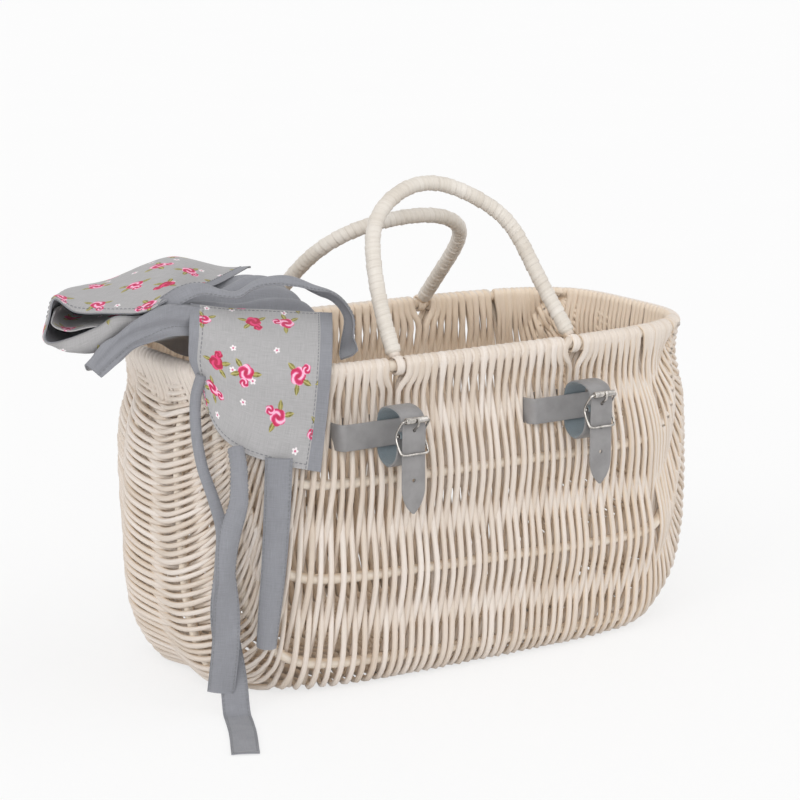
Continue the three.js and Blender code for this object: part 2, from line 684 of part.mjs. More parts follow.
function pinSolid() {
  const eye = hollowTube([-1, 1].map((end) => ({
    centre: vec(end * PIN_DIAMETER * 0.8, -LOOP_DEPTH, BAR_RISE),
    side: vec(0, 1, 0),
    up: vec(0, 0, 1),
  })), WIRE / 2 + FIT + 1, WIRE / 2 + FIT, 8);
  const path = new THREE.CatmullRomCurve3([
    [LOOP_DEPTH + WIRE / 2 + FIT + 0.6, BAR_RISE + 0.8], [TAIL_RUN, BAR_RISE + 3.8],
    [PIN_TOP_RUN - 0.6, ROLLER_RISE - 3], [PIN_TOP_RUN, ROLLER_RISE], [PIN_TOP_RUN - 0.4, ROLLER_RISE + 3],
  ].map(([run, rise]) => vec(0, -run, rise)));
  const side = vec(1, 0, 0);
  const shank = loft(evenly(7).map((s) => circle(
    path.getPointAt(s),
    side,
    vec().crossVectors(side, path.getTangentAt(s)),
    PIN_DIAMETER / 2,
    6,
  )));
  return joined([eye, shank]);
}

function buildStrap({ name, x }) {
  addPiece(basket, `${name}_strap_band`, bandSolid(x), 'leather');
  const group = new THREE.Group();
  group.position.set(x, strapSeat(x), STRAP_HEIGHT);
  basket.add(group);
  addPiece(group, `${name}_strap`, strapSolid(), 'leather');
  addPiece(group, `${name}_buckle_frame`, buckleFrameSolid(), 'nickel');
  addPiece(group, `${name}_buckle_roller`, rollerSolid(), 'nickel');
  addPiece(group, `${name}_buckle_pin`, pinSolid(), 'nickel');
}

// Cover: places are from the rim's left end, its front side and its height
const LEFT = -HALF_LENGTH;
const FRONT = -HALF_WIDTH;
const REST = RIM_RADIUS + FIT;

const COVER_WIDTH = vec(28, 64, 0);
const COVER_MIDDLE = -10;

// Folded end of the cover: under layer, round fold past the left end, and upper layer
const foldLow = REST + CLOTH + FIT + CLOTH / 2;
const foldPath = new THREE.CatmullRomCurve3([
  [22, 6], [-4, 0], [-40, 5], [-76, 11], [-100, 20], [-110, 30], [-100, 41], [-66, 42], [-20, 49], [20, 56],
  [60, 51], [92, 44],
].map(([x, z]) => vec(LEFT + x, COVER_MIDDLE, RIM_HEIGHT + foldLow + z)));

function foldPoint(s, t) {
  const upper = THREE.MathUtils.smoothstep(s, 0.3, 0.55);
  const wave = 2.5 * Math.sin(5 * Math.PI * s) * Math.cos(2 * Math.PI * t) - 10 * (t - 0.5);
  return foldPath.getPointAt(s).addScaledVector(COVER_WIDTH, t - 0.5).add(vec(0, 0, wave * upper));
}

// Lining that lies on the rim under the fold
const liningPath = new THREE.CatmullRomCurve3([
  [-84, -6], [-60, 2], [-30, 1.5], [0, 0], [30, 2], [70, 4],
].map(([x, z]) => vec(LEFT + x, COVER_MIDDLE, RIM_HEIGHT + REST + CLOTH / 2 + z)));

function liningPoint(s, t) {
  return liningPath.getPointAt(s).addScaledVector(COVER_WIDTH, t - 0.5);
}

// Flap that hangs over the front left corner of the rim, with t from its right edge to its left
const FLAP_RIGHT = rimAngle(LEFT + 84);
const FLAP_LEFT = rimAngle(LEFT + 3);
const FLAP_SLANT = rimAngle(LEFT + 63) - FLAP_RIGHT;

function flapPoint(s, t) {
  const gap = REST + CLOTH / 2 + 3 * FIT;
  const drop = 68 - 46 * t ** 2.2;
  const profile = new THREE.CatmullRomCurve3([
    [-38, mix(35, 48, t)], [-18, 30], [gap * 0.5, gap * 0.9], [gap, 0],
    [gap + 4, -drop * 0.5], [gap + 4.5, -drop],
  ].map(([out, up]) => vec(out, 0, up)));
  const angle = mix(FLAP_RIGHT, FLAP_LEFT, t) + FLAP_SLANT * 2 * Math.max(s - 0.5, 0) * (1 - t);
  const station = rimStation(-angle);
  const place = profile.getPointAt(s);
  const fold = 1.5 * Math.sin(3 * Math.PI * t) * s * s;
  return station.centre.addScaledVector(station.side, place.x + fold).add(vec(0, 0, place.z));
}

// Ribbon along a curve, its width turned about the curve, its top edge on a line, and no lower than the floor
function tieSolid(points, widths, steps, topEdge) {
  const curve = new THREE.CatmullRomCurve3(points);
  const turns = new THREE.CatmullRomCurve3(widths);
  const plain = (s, t) => {
    const along = curve.getTangentAt(s);
    const wide = turns.getPoint(s);
    wide.addScaledVector(along, -wide.dot(along)).normalize();
    return curve.getPointAt(s).addScaledVector(wide, (t - 0.5) * TIE_WIDTH);
  };
  const point = (s, t) => {
    const shift = topEdge(t).sub(plain(0, t));
    const place = plain(s, t).addScaledVector(shift, 1 - THREE.MathUtils.smoothstep(s, 0, 0.25));
    place.z = Math.max(place.z, TIE / 2);
    return place;
  };
  return slab(point, evenly(steps), 1, TIE);
}

function buildCover() {
  addPiece(basket, 'cover_fold', slab(foldPoint, evenly(30), 5, CLOTH), 'print');
  addPiece(basket, 'cover_lining', slab(liningPoint, evenly(14), 3, CLOTH), 'lining');
  addPiece(basket, 'cover_flap', slab(flapPoint, evenly(14), 12, CLOTH), 'print');
  const place = ([x, y, z]) => vec(LEFT + x, FRONT + y, z);
  const hem = (middle) => (t) => flapPoint(1, middle + 0.2 * (0.5 - t)).add(vec(0, 0, -TIE_SEAT));
  const low = TIE / 2;
  const top = RIM_HEIGHT;
  const hang = vec(0.84, -0.54, 0);
  const addTie = (name, first, rest, widths, steps, topEdge) => {
    addPiece(basket, name, tieSolid([first, ...rest.map(place)], widths, steps, topEdge), 'lining');
  };
  addTie('long_tie', hem(0.88)(0.5), [[-6, 30, top * 0.76], [-2, 20, top * 0.65], [1, 15, top * 0.56],
    [1, 17, top * 0.45], [0, 17, top * 0.28], [3, 9, top * 0.1], [1, 1, low + 1], [-13, -32, low],
    [-34, -74, low]], [hang, vec(0.5, -1, 0), hang, hang, vec(1, 0.1, 0)], 26, hem(0.88));
  addTie('corner_tie', hem(0.67)(0.5), [[6, 2, top * 0.72], [1, -5, top * 0.65], [-12, -8, top * 0.57],
    [-18, -5, top * 0.48], [-19, 4, top * 0.24], [-20, 15, low + 15]],
  [hang, vec(0.9, 0.2, 0), hang, hang], 18, hem(0.67));
  addTie('front_tie', hem(0.42)(0.5), [[33, 3, top * 0.5], [28, 4, top * 0.19]],
    [hang, hang], 10, hem(0.42));
  const seam = (t) => foldPoint(0.68, 0).add(vec(0, (t - 1) * TIE_WIDTH - FIT, 0));
  addTie('upper_tie', seam(0.5), [[4, 46, top + 62], [30, 46, top + 50], [51, 46, top + 61],
    [72, 46, top + 62], [94, 46, top + 52], [111, 46, top + 45], [121, 46, top + 36],
    [124, 46, top + 24], [115, 46, top - 1]],
  [vec(0, 1, 0), vec(0, 1, 0.3), vec(0, 1, 0)], 24, seam);
}

buildBody();
buildHandle('front', -EYE_PLACE, 0, FRONT_ARCH, FRONT_LEAN);
buildHandle('back', EYE_PLACE, Math.PI, BACK_ARCH, BACK_LEAN);
straps.forEach(buildStrap);
buildCover();

export default basket;
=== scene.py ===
"""Looks of a willow bicycle basket with leather straps and a cotton cover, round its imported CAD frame."""
import math

import bpy
import numpy as np
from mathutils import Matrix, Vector


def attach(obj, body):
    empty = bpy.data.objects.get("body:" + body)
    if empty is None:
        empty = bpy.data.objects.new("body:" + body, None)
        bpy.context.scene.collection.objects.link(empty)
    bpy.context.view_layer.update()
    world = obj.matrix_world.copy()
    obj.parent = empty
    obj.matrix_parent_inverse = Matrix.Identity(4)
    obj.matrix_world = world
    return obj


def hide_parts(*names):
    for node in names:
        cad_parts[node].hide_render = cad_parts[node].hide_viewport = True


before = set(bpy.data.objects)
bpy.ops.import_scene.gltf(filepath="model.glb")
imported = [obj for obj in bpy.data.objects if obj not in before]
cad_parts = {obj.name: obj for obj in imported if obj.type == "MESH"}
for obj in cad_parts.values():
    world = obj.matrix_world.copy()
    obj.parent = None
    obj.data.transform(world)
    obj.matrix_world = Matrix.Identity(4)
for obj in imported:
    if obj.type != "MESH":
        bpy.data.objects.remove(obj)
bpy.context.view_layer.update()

MM = 0.001
random = np.random.default_rng(11)

# Sizes of the basket in millimetres, as in its CAD model
RIM_LENGTH, RIM_WIDTH, RIM_HEIGHT = 440.0, 216.0, 246.0
BASE_LENGTH, BASE_WIDTH, WALL = 390.0, 186.0, 9.0
RIM_SQUARENESS, WEAVE_SQUARENESS, BASE_SHARE = 3.95, 10.0, 0.55
HALF_LENGTH, HALF_WIDTH = RIM_LENGTH / 2, RIM_WIDTH / 2
SIDE_SHAPE = [(0, 0), (0.1, 0.12), (0.25, -0.18), (0.48, -0.25), (0.72, -0.2), (0.84, 0), (0.93, 0.36),
              (0.98, 0.72), (1, 1)]
RIB_SHARES = [(0.34, 0.005), (0.63, 0.015), (0.92, 0.03)]
BASE_RIB_PLACE = BASE_SHARE * 90 / BASE_WIDTH

# Weaving
ROD_RADIUS = 2.12
END_RADIUS = 1.62       # thinner tips of the rods lie across the ends
RIM_WIDE, RIM_THICK = 3.3, 1.5
RIB_RADIUS = 4.0
RIB_REACH = 3.3         # the rods press into the ribs
HOOP_RADIUS = 4.2
RIM_TURN = 5.4          # middle of a rod that turns over the hoop
FRONT_PITCH = 3.74
END_PITCH = 3.1
CORNER_PLACE = 0.72     # rods that leave the rim nearer the middle than this run under the base
CORNER_RIM = 105.0      # length of rim, from there round the corner, that holds the rods across the ends
LEAN_SPREAD = 0.32      # rods this much nearer the middle than the corner's stand upright
SHALLOW, MIDDLE = 30.0, 75.0    # depths below the rim where the turns of the rods across an end change
DEEP = 28.0             # the last of these rods, this far above the base, all reach the rim
RING_STEP = 5.0
HALF_POINTS = 450       # points on half a rod's way
RIM_EDGE = 0.9995       # outermost place of a rod in the weave's pattern
RIB_PRESS = 0.93        # share of its radius that a rod lies off a rib
BEND = 0.17             # share of its way between two ribs in which a rod rounds each
OVER = np.radians(np.linspace(18, 162, 7))     # angles of a half turn
SWAY = (0.55, 0.38)     # how far the rods wander
UNEVEN = 0.5            # and how far they start from even spacing
TURN_REACH, TURN_PITCH, TURN_SLANT = 74.0, 5.9, 12.0    # rods over the rim of an end
TURN_FOOT, TURN_TAIL = 30.0, (58, 84)                   # lengths of them outside and inside
ENDS = (("left", -1), ("right", 1))
FOOT_PLACE = 80.0       # handle feet on the rim
FOOT_ROOM = 7.8         # how far a foot presses the nearest rods aside
FOOT_SPREAD = 28.0      # rods this far from a foot keep their places
FOOT_FADE = (5, 19)     # depths below the rim between which rods come back to their places
UP = np.array([0.0, 0.0, 1.0])


def unit(a):
    return a / np.maximum(np.linalg.norm(a, axis=-1, keepdims=True), 1e-9)


def ease(x, low, high):
    t = np.clip((x - low) / (high - low), 0, 1)
    return t * t * (3 - 2 * t)


def lengths(points):
    steps = np.linalg.norm(np.diff(points, axis=0), axis=1)
    return np.concatenate([[0], np.cumsum(steps)])


def rows_at(places, along, rows):
    """Rows of an array at places between its own, which lie at the lengths given by along."""
    return np.column_stack([np.interp(places, along, column) for column in rows.T])


def resample(points, count, along=None):
    """Evenly spaced rows of an array, along the given lengths or along the points themselves."""
    along = lengths(points) if along is None else along
    return rows_at(np.linspace(along[0], along[-1], count), along, points)


def circle(count):
    """Angles all round, without the last that meets the first."""
    return np.linspace(0, 2 * math.pi, count, endpoint=False)


def spline(points, count, closed=False):
    """Smooth curve through points, evenly spaced."""
    p = np.asarray(points, float)
    if closed:
        p = np.vstack([p[-1], p, p[:2]])
    else:
        p = np.vstack([2 * p[0] - p[1], p, 2 * p[-1] - p[-2]])
    pieces = []
    for a, b, c, d in zip(p[:-3], p[1:-2], p[2:-1], p[3:]):
        t1 = np.linalg.norm(b - a) ** 0.5
        t2 = t1 + np.linalg.norm(c - b) ** 0.5
        t3 = t2 + np.linalg.norm(d - c) ** 0.5
        t = np.linspace(t1, t2, 24, endpoint=False)[:, None]

        def mix(first, second, low, high):
            return (high - t) / (high - low) * first + (t - low) / (high - low) * second

        near, middle, far = mix(a, b, 0, t1), mix(b, c, t1, t2), mix(c, d, t2, t3)
        pieces.append(mix(mix(near, middle, 0, t2), mix(middle, far, t1, t3), t1, t2))
    pieces.append(p[-2][None])
    return resample(np.vstack(pieces), count)


# Meshes

def link(name, data):
    thing = bpy.data.objects.new(name, data)
    bpy.context.scene.collection.objects.link(thing)
    return thing


class Pile:
    """Vertices, faces and texture places that become one mesh."""

    def __init__(self):
        self.points, self.faces, self.places, self.kinds, self.count = [], [], [], [], 0

    def grid(self, points, places=None, wrap=False, loop=False, caps=False, kinds=None):
        """Rows of points, joined across into a tube by wrap and along into a loop by loop."""
        rows, columns = points.shape[:2]
        if places is None:
            along = lengths(points.mean(axis=1))
            around = np.linspace(0, 1, columns + 1) * 4 * ROD_RADIUS
            places = np.stack(np.broadcast_arrays(around[None, :], along[:, None]), axis=-1)
        i, j = np.meshgrid(np.arange(rows if loop else rows - 1), np.arange(columns if wrap else columns - 1),
                           indexing="ij")
        after, right = (i + 1) % rows * columns, (j + 1) % columns
        here = i * columns
        corners = np.stack([here + j, here + right, after + right, after + j], axis=-1).reshape(-1, 4)
        low, side = np.minimum(i + 1, places.shape[0] - 1), np.minimum(j + 1, places.shape[1] - 1)
        marks = np.stack([places[i, j], places[i, side], places[low, side], places[low, j]], axis=-2)
        self.points.append(points.reshape(-1, 3))
        self.faces.extend((corners + self.count).tolist())
        self.places.append(marks.reshape(-1, 2))
        self.kinds.append(np.zeros(len(corners), int) if kinds is None else kinds[:rows - 1].reshape(-1))
        if caps:
            self.face(np.arange(columns)[::-1] + self.count, places[0])
            self.face(np.arange(columns) + self.count + (rows - 1) * columns, places[-1])
        self.count += rows * columns
        return self

    def face(self, corners, places, kind=0):
        self.faces.append(list(map(int, corners)))
        self.places.append(np.resize(places, (len(corners), 2)))
        self.kinds.append(np.array([kind]))

    def tube(self, points, normals, wide, thick, sides=8, loop=False):
        """Tube whose section is an oval: wide beside the normals and thick along them."""
        ahead = np.roll(points, -1, 0) - np.roll(points, 1, 0) if loop else np.gradient(points, axis=0)
        along = unit(ahead)
        normals = unit(normals - along * (normals * along).sum(1)[:, None])
        across = np.cross(along, normals)
        wide, thick = np.broadcast_to(wide, len(points)), np.broadcast_to(thick, len(points))
        ring = (points[:, None] + across[:, None] * (wide[:, None] * np.cos(circle(sides)))[..., None]
                + normals[:, None] * (thick[:, None] * np.sin(circle(sides)))[..., None])
        return self.grid(ring, wrap=True, loop=loop, caps=not loop)

    def mesh(self, name):
        mesh = bpy.data.meshes.new(name)
        mesh.from_pydata((np.vstack(self.points) * MM).tolist(), [], self.faces)
        return mesh

    def build(self, name, materials, body, nodes=(), slot=None):
        """The pile as a piece with its materials, that rides on a body and takes the place of CAD nodes; slot
        is not used.
        """
        mesh = self.mesh(name)
        layer = mesh.uv_layers.new(name="UVMap")
        layer.data.foreach_set("uv", (np.vstack(self.places) * MM).astype(np.float32).ravel())
        mesh.polygons.foreach_set("use_smooth", np.ones(len(mesh.polygons), bool))
        for material in materials:
            mesh.materials.append(material)
        mesh.polygons.foreach_set("material_index", np.concatenate(self.kinds).astype(np.int32))
        mesh.validate()
        mesh.update()
        piece = link(name, mesh)
        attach(piece, body)
        if nodes:
            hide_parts(*nodes)
        return piece


# Materials

class Nodes:
    """A node tree with short names for what the materials and the world need."""

    def __init__(self, tree):
        self.tree = tree

    def add(self, kind, settings=None, **inputs):
        """New node; an input is given by its name, or by its number as in0, in1 and so on."""
        node = self.tree.nodes.new(kind)
        for key, value in (settings or {}).items():
            setattr(node, key, value)
        for key, value in inputs.items():
            found = node.inputs[int(key[2:]) if key[:2] == "in" and key[2:].isdigit() else key]
            if isinstance(value, bpy.types.NodeSocket):
                self.tree.links.new(value, found)
            else:
                found.default_value = value
        return node

    def math(self, operation, a, b=0.0, c=0.0):
        return self.add("ShaderNodeMath", {"operation": operation}, in0=a, in1=b, in2=c).outputs[0]

    def times(self, a, b):
        return self.math("MULTIPLY", a, b)

    def sum(self, a, share_a, b, share_b):
        return self.math("ADD", self.times(a, share_a), self.times(b, share_b))

    def vector(self, operation, a, b=(0, 0, 0)):
        return self.add("ShaderNodeVectorMath", {"operation": operation}, in0=a, in1=b).outputs[0]

    def between(self, value, low, high):
        """0 below low and 1 above high, eased."""
        return self.add("ShaderNodeMapRange", {"interpolation_type": "SMOOTHSTEP"}, Value=value,
                        **{"From Min": low, "From Max": high}).outputs[0]

    def spread(self, value, low, high, first, last):
        return self.add("ShaderNodeMapRange", None, Value=value, **{
            "From Min": low, "From Max": high, "To Min": first, "To Max": last}).outputs[0]

    def seen(self):
        """1 for the camera's rays and for those that metal and glass show."""
        rays = self.add("ShaderNodeLightPath").outputs
        shiny = self.math("MAXIMUM", rays["Is Glossy Ray"], rays["Is Transmission Ray"])
        return self.math("MAXIMUM", rays["Is Camera Ray"], shiny)


class Paint(Nodes):
    """A material."""

    def __init__(self, name, **values):
        self.material = bpy.data.materials.new(name)
        self.material.use_nodes = True
        super().__init__(self.material.node_tree)
        self.shader = self.tree.nodes["Principled BSDF"]
        for key, value in values.items():
            self.shader.inputs[key.replace("_", " ").title().replace("Ior", "IOR")].default_value = value

    def blend(self, share, a, b):
        return self.add("ShaderNodeMix", {"data_type": "RGBA"}, in0=share, in6=a, in7=b).outputs[2]

    def tones(self, value, low, high, first, last):
        """From one screen colour to another as a value rises from low to high."""
        return self.blend(self.between(value, low, high), rgb(*first), rgb(*last))

    def uv(self, across, along, rest=1):
        return self.vector("MULTIPLY", self.add("ShaderNodeUVMap").outputs[0], (across, along, rest))

    def solid(self):
        return self.add("ShaderNodeTexCoord").outputs["Object"]

    def noise(self, vector, scale=1.0, detail=3.0, roughness=0.55):
        return self.add("ShaderNodeTexNoise", None, Vector=vector, Scale=scale, Detail=detail,
                        Roughness=roughness).outputs[0]

    def bump(self, height, strength, distance):
        return self.add("ShaderNodeBump", None, Strength=strength, Distance=distance,
                        Height=height).outputs[0]

    def finish(self, colour, roughness=None, normal=None):
        for name, value in (("Base Color", colour), ("Roughness", roughness), ("Normal", normal)):
            if value is not None:
                self.tree.links.new(value, self.shader.inputs[name])
        return self.material


def rgb(red, green, blue):
    """Linear colour from the 0 to 255 numbers of a screen colour."""
    levels = np.array([red, green, blue]) / 255
    linear = np.where(levels <= 0.04045, levels / 12.92, ((levels + 0.055) / 1.055) ** 2.4)
    return (*linear.tolist(), 1.0)


def willow_material(name, pale, deep, gloss, painted_inside_warmth=0.0):
    """Peeled willow: streaks along the rod, slow changes of tone, brown marks; a painted warm tint on the
    faces that look into the basket, standing in for light bounced about inside it.
    """
    paint = Paint(name, specular_ior_level=0.4)
    slow = paint.noise(paint.uv(8, 5), detail=2.0)
    streaks = paint.noise(paint.uv(900, 14))
    marks = paint.noise(paint.uv(120, 22), detail=4.0, roughness=0.7)
    colour = paint.blend(paint.between(paint.sum(slow, 0.75, streaks, 0.35), 0.35, 0.75), pale, deep)
    brown = paint.times(paint.between(marks, 0.68, 0.8), 0.32)
    colour = paint.blend(brown, colour, rgb(168, 132, 92))
    # Painted light: faces that look into the basket are tinted warm tan, standing in for the light bounced
    # about inside it.
    place = paint.add("ShaderNodeNewGeometry").outputs
    outward = paint.add("ShaderNodeVectorMath", {"operation": "DOT_PRODUCT"}, in0=place["Normal"],
                        in1=paint.vector("SUBTRACT", place["Position"], (0, 0, 0.2)))
    inner = paint.between(outward.outputs["Value"], 0.03, -0.05)
    colour = paint.blend(paint.times(inner, painted_inside_warmth), colour, rgb(236, 215, 189))
    rough = paint.spread(streaks, 0.3, 0.7, gloss, gloss + 0.2)
    return paint.finish(colour, rough, paint.bump(streaks, 0.35, 0.0005))


def leather_material():
    paint = Paint("grey_leather", specular_ior_level=0.45)
    grain = paint.add("ShaderNodeTexVoronoi", {"feature": "DISTANCE_TO_EDGE"}, Vector=paint.solid(),
                      Scale=1500.0)
    slow = paint.noise(paint.solid(), 60.0)
    colour = paint.tones(slow, 0.3, 0.7, (132, 130, 130), (147, 145, 145))
    height = paint.between(grain.outputs["Distance"], 0.0, 0.12)
    return paint.finish(colour, paint.spread(slow, 0.3, 0.7, 0.42, 0.56), paint.bump(height, 0.25, 0.0003))


def suede_material():
    paint = Paint("suede_side", roughness=0.95, sheen_weight=0.35, sheen_roughness=0.6)
    nap = paint.noise(paint.solid(), 900.0, 4.0, 0.7)
    slow = paint.noise(paint.solid(), 70.0, 2.0)
    colour = paint.blend(paint.sum(nap, 0.5, slow, 0.5), rgb(80, 90, 96), rgb(124, 136, 142))
    return paint.finish(colour, None, paint.bump(nap, 0.6, 0.0005))


def nickel_material():
    paint = Paint("nickel", metallic=1.0)
    wear = paint.noise(paint.solid(), 220.0, 4.0, 0.65)
    colour = paint.tones(wear, 0.35, 0.7, (198, 194, 189), (150, 146, 141))
    return paint.finish(colour, paint.spread(wear, 0.3, 0.7, 0.1, 0.26), paint.bump(wear, 0.08, 0.0002))


def cotton_weave(paint):
    """Height of a plain weave with slubs, from the sheet's own flat measures."""
    over, under = (paint.noise(paint.uv(*scale), detail=2.0) for scale in ((2200, 90), (90, 2200)))
    return paint.sum(over, 0.5, under, 0.5)


def lining_material():
    paint = Paint("grey_cotton", roughness=0.9, sheen_weight=0.15, sheen_roughness=0.5)
    slubs = cotton_weave(paint)
    tone = paint.sum(slubs, 0.7, paint.noise(paint.uv(40, 40), detail=2.0), 0.3)
    colour = paint.tones(tone, 0.3, 0.7, (129, 130, 135), (146, 147, 153))
    return paint.finish(colour, None, paint.bump(slubs, 0.3, 0.0006))


def thread_material():
    paint = Paint("grey_thread", roughness=0.8)
    twist = paint.noise(paint.uv(900, 2500), detail=2.0)
    colour = paint.tones(twist, 0.3, 0.7, (112, 113, 116), (150, 151, 154))
    return paint.finish(colour, None, paint.bump(twist, 0.4, 0.0002))


class Motif:
    """Places for one kind of printed motif: a turned frame round each point of a scattered pattern."""

    def __init__(self, paint, pitch, shift, jitter):
        self.paint = paint
        place = paint.vector("ADD", paint.uv(1, 1, 0), (*shift, 0))
        cell = paint.add("ShaderNodeTexVoronoi", {"voronoi_dimensions": "2D"}, Vector=place, Scale=1 / pitch,
                         Randomness=jitter)
        self.dice = paint.add("ShaderNodeSeparateColor", None, Color=cell.outputs["Color"]).outputs
        centre = paint.vector("MULTIPLY", cell.outputs["Position"], (1, 1, 0))
        offset = paint.vector("MULTIPLY", paint.vector("SUBTRACT", place, centre), (1000, 1000, 0))
        turn = paint.times(self.dice[0], 2 * math.pi)
        local = paint.add("ShaderNodeVectorRotate", {"rotation_type": "Z_AXIS"}, Vector=offset, Angle=turn)
        self.local = paint.add("ShaderNodeSeparateXYZ", None, in0=local.outputs[0]).outputs

    def chance(self, share):
        return self.paint.math("LESS_THAN", self.dice[1], share)

    def offset(self, *place):
        """Way from a place in the motif, in millimetres."""
        return [self.paint.math("SUBTRACT", self.local[k], place[k]) for k in range(2)]

    def petals(self, x, y, radius, count, depth, phase=0.0):
        """1 inside a bloom with scalloped edges and 0 outside; the distance and angle from its middle."""
        p = self.paint
        dx, dy = self.offset(x, y)
        far = p.math("SQRT", p.math("ADD", p.times(dx, dx), p.times(dy, dy)))
        angle = p.math("ARCTAN2", dy, dx)
        wave = p.math("COSINE", p.math("ADD", p.times(angle, count), phase))
        edge = p.math("MULTIPLY_ADD", p.math("ABSOLUTE", wave), depth * radius, radius * (1 - depth))
        return p.between(p.math("SUBTRACT", edge, far), -0.25, 0.35), far, angle

    def leaf(self, x, y, length, width, angle):
        """1 inside a pointed leaf, and its distance from the middle vein."""
        p = self.paint
        c, s = math.cos(angle), math.sin(angle)
        dx, dy = self.offset(x, y)
        b = p.math("ABSOLUTE", p.math("SUBTRACT", p.times(dy, c), p.times(dx, s)))
        share = p.math("DIVIDE", p.sum(dx, c, dy, s), length)
        room = p.times(p.math("SUBTRACT", 1.0, p.times(share, share)), width)
        return p.between(p.math("SUBTRACT", room, b), -0.15, 0.3), b


def print_material():
    """Grey cotton printed with scattered blooms, buds, leaves and small white blossoms."""
    paint = Paint("printed_cotton", roughness=0.9, sheen_weight=0.12, sheen_roughness=0.5)
    slubs = cotton_weave(paint)
    colour = paint.tones(slubs, 0.3, 0.7, (159, 158, 158), (178, 176, 177))
    blotch = paint.noise(paint.uv(420, 420), roughness=0.6)

    def lay(mask, tint):
        nonlocal colour
        colour = paint.blend(paint.times(paint.times(mask, show), 0.94), colour, tint)

    olive = paint.tones(blotch, 0.35, 0.65, (104, 100, 38), (160, 150, 78))
    small = Motif(paint, 0.021, (0.313, 0.171), 0.8)
    show = small.chance(0.42)
    mask, far, _ = small.petals(0, 0, 2.6, 2.5, 0.45)
    lay(mask, rgb(240, 232, 234))
    lay(paint.between(far, 1.0, 0.6), rgb(206, 96, 136))

    large = Motif(paint, 0.0315, (0.087, 0.142), 0.55)
    show = large.chance(0.86)
    for x, y, turn in ((7.2, 3.6, 0.5), (6.2, -4.6, -0.75), (-7.0, 2.2, 2.7)):
        mask, vein = large.leaf(x, y, 4.4, 1.9, turn)
        lay(mask, olive)
        lay(paint.times(mask, paint.between(vein, 0.45, 0.15)), rgb(188, 180, 116))
    for x, y, radius, phase in ((0.0, 0.0, 6.1, 0.0), (-1.6, -7.4, 3.6, 1.0)):
        mask, far, angle = large.petals(x, y, radius, 2.5, 0.16, phase)
        swirl = paint.math("SINE", paint.sum(far, 7.0 / radius, angle, 2.0))
        swirl = paint.math("MULTIPLY_ADD", blotch, 1.6, paint.math("ADD", swirl, -0.8))
        tint = paint.tones(swirl, -0.7, 0.1, (196, 24, 84), (226, 84, 142))
        tint = paint.blend(paint.between(swirl, 0.25, 0.8), tint, rgb(244, 190, 214))
        deep = paint.tones(swirl, -0.4, 0.9, (176, 14, 66), (222, 62, 116))
        tint = paint.blend(paint.math("GREATER_THAN", large.dice[2], 0.72), tint, deep)
        tint = paint.blend(paint.between(far, radius * 0.36, radius * 0.16), tint, rgb(186, 16, 74))
        lay(mask, tint)
    return paint.finish(colour, None, paint.bump(slubs, 0.3, 0.0006))


WILLOW = willow_material("peeled_willow", rgb(230, 221, 213), rgb(209, 194, 178), 0.48, 0.6)
# The ribs and the rim hoop take a paler copy of the willow: painted light, so that the ribs look lit where
# they show between the rods.
RIB_WILLOW_PAINTED_LIGHT = willow_material("rib_willow_painted_light", rgb(234, 226, 216), rgb(216, 201, 182), 0.5, 0.6)
SKEIN = willow_material("willow_skein", rgb(224, 218, 210), rgb(203, 194, 182), 0.34)
LEATHER, SUEDE, NICKEL = leather_material(), suede_material(), nickel_material()
LINING_COTTON, THREAD, PRINT = lining_material(), thread_material(), print_material()


# The weave's pattern: a rounded square whose edge is the rim and whose middle is the base

SIDE = spline([(i * (RIM_LENGTH - BASE_LENGTH) / 2, i * (RIM_WIDTH - BASE_WIDTH) / 2,
                d * (RIM_HEIGHT - WALL / 2)) for d, i in SIDE_SHAPE], 400)
WALL_LENGTH = lengths(SIDE)[-1]
# Depths of the rods in the middle of an end, and how far round the corner's rim each comes up
RISE_DEPTHS = (0, SHALLOW, MIDDLE, WALL_LENGTH - DEEP, WALL_LENGTH)
RISE_SHARES = (1.18, 0.85, 0.62, 0.2, -0.02)


def square_size(u, v, power=WEAVE_SQUARENESS):
    return (np.abs(u) ** power + np.abs(v) ** power) ** (1 / power)


def beside(size, a, power=WEAVE_SQUARENESS):
    return np.maximum(size ** power - np.abs(a) ** power, 0) ** (1 / power)


def weave(u, v):
    size = square_size(u, v)
    outline = np.maximum(square_size(u, v, RIM_SQUARENESS), 1e-9)
    share = np.clip((1 - size) / (1 - BASE_SHARE), 0, 1) * (len(SIDE) - 1)
    side = np.stack([np.interp(share, np.arange(len(SIDE)), SIDE[:, k]) for k in range(3)], axis=-1)
    spread = np.minimum(size / BASE_SHARE, 1) / outline
    return np.stack([(HALF_LENGTH - side[..., 0]) * u * spread, (HALF_WIDTH - side[..., 1]) * v * spread,
                     RIM_HEIGHT - side[..., 2]], axis=-1)


def weave_normal(u, v):
    step = 2e-4
    along_u = weave(u + step, v) - weave(u - step, v)
    along_v = weave(u, v + step) - weave(u, v - step)
    return unit(np.cross(along_v, along_u))


def outline_below(distance):
    return 1 - (1 - BASE_SHARE) * distance / WALL_LENGTH


RIBS = ([(-(1 - (1 - BASE_SHARE) * share), -lean) for share, lean in RIB_SHARES]
        + [(-BASE_RIB_PLACE, 0.0), (BASE_RIB_PLACE, 0.0)]
        + [(1 - (1 - BASE_SHARE) * share, lean) for share, lean in RIB_SHARES[::-1]])


def bend(share):
    """Share of the way from one side of the weave to the other: straight between two ribs, round at both."""
    e = BEND
    middle = (share - e / 2) / (1 - e)
    near, far = share ** 2 / (2 * e * (1 - e)), 1 - (1 - share) ** 2 / (2 * e * (1 - e))
    return np.where(share < e, near, np.where(share > 1 - e, far, middle))


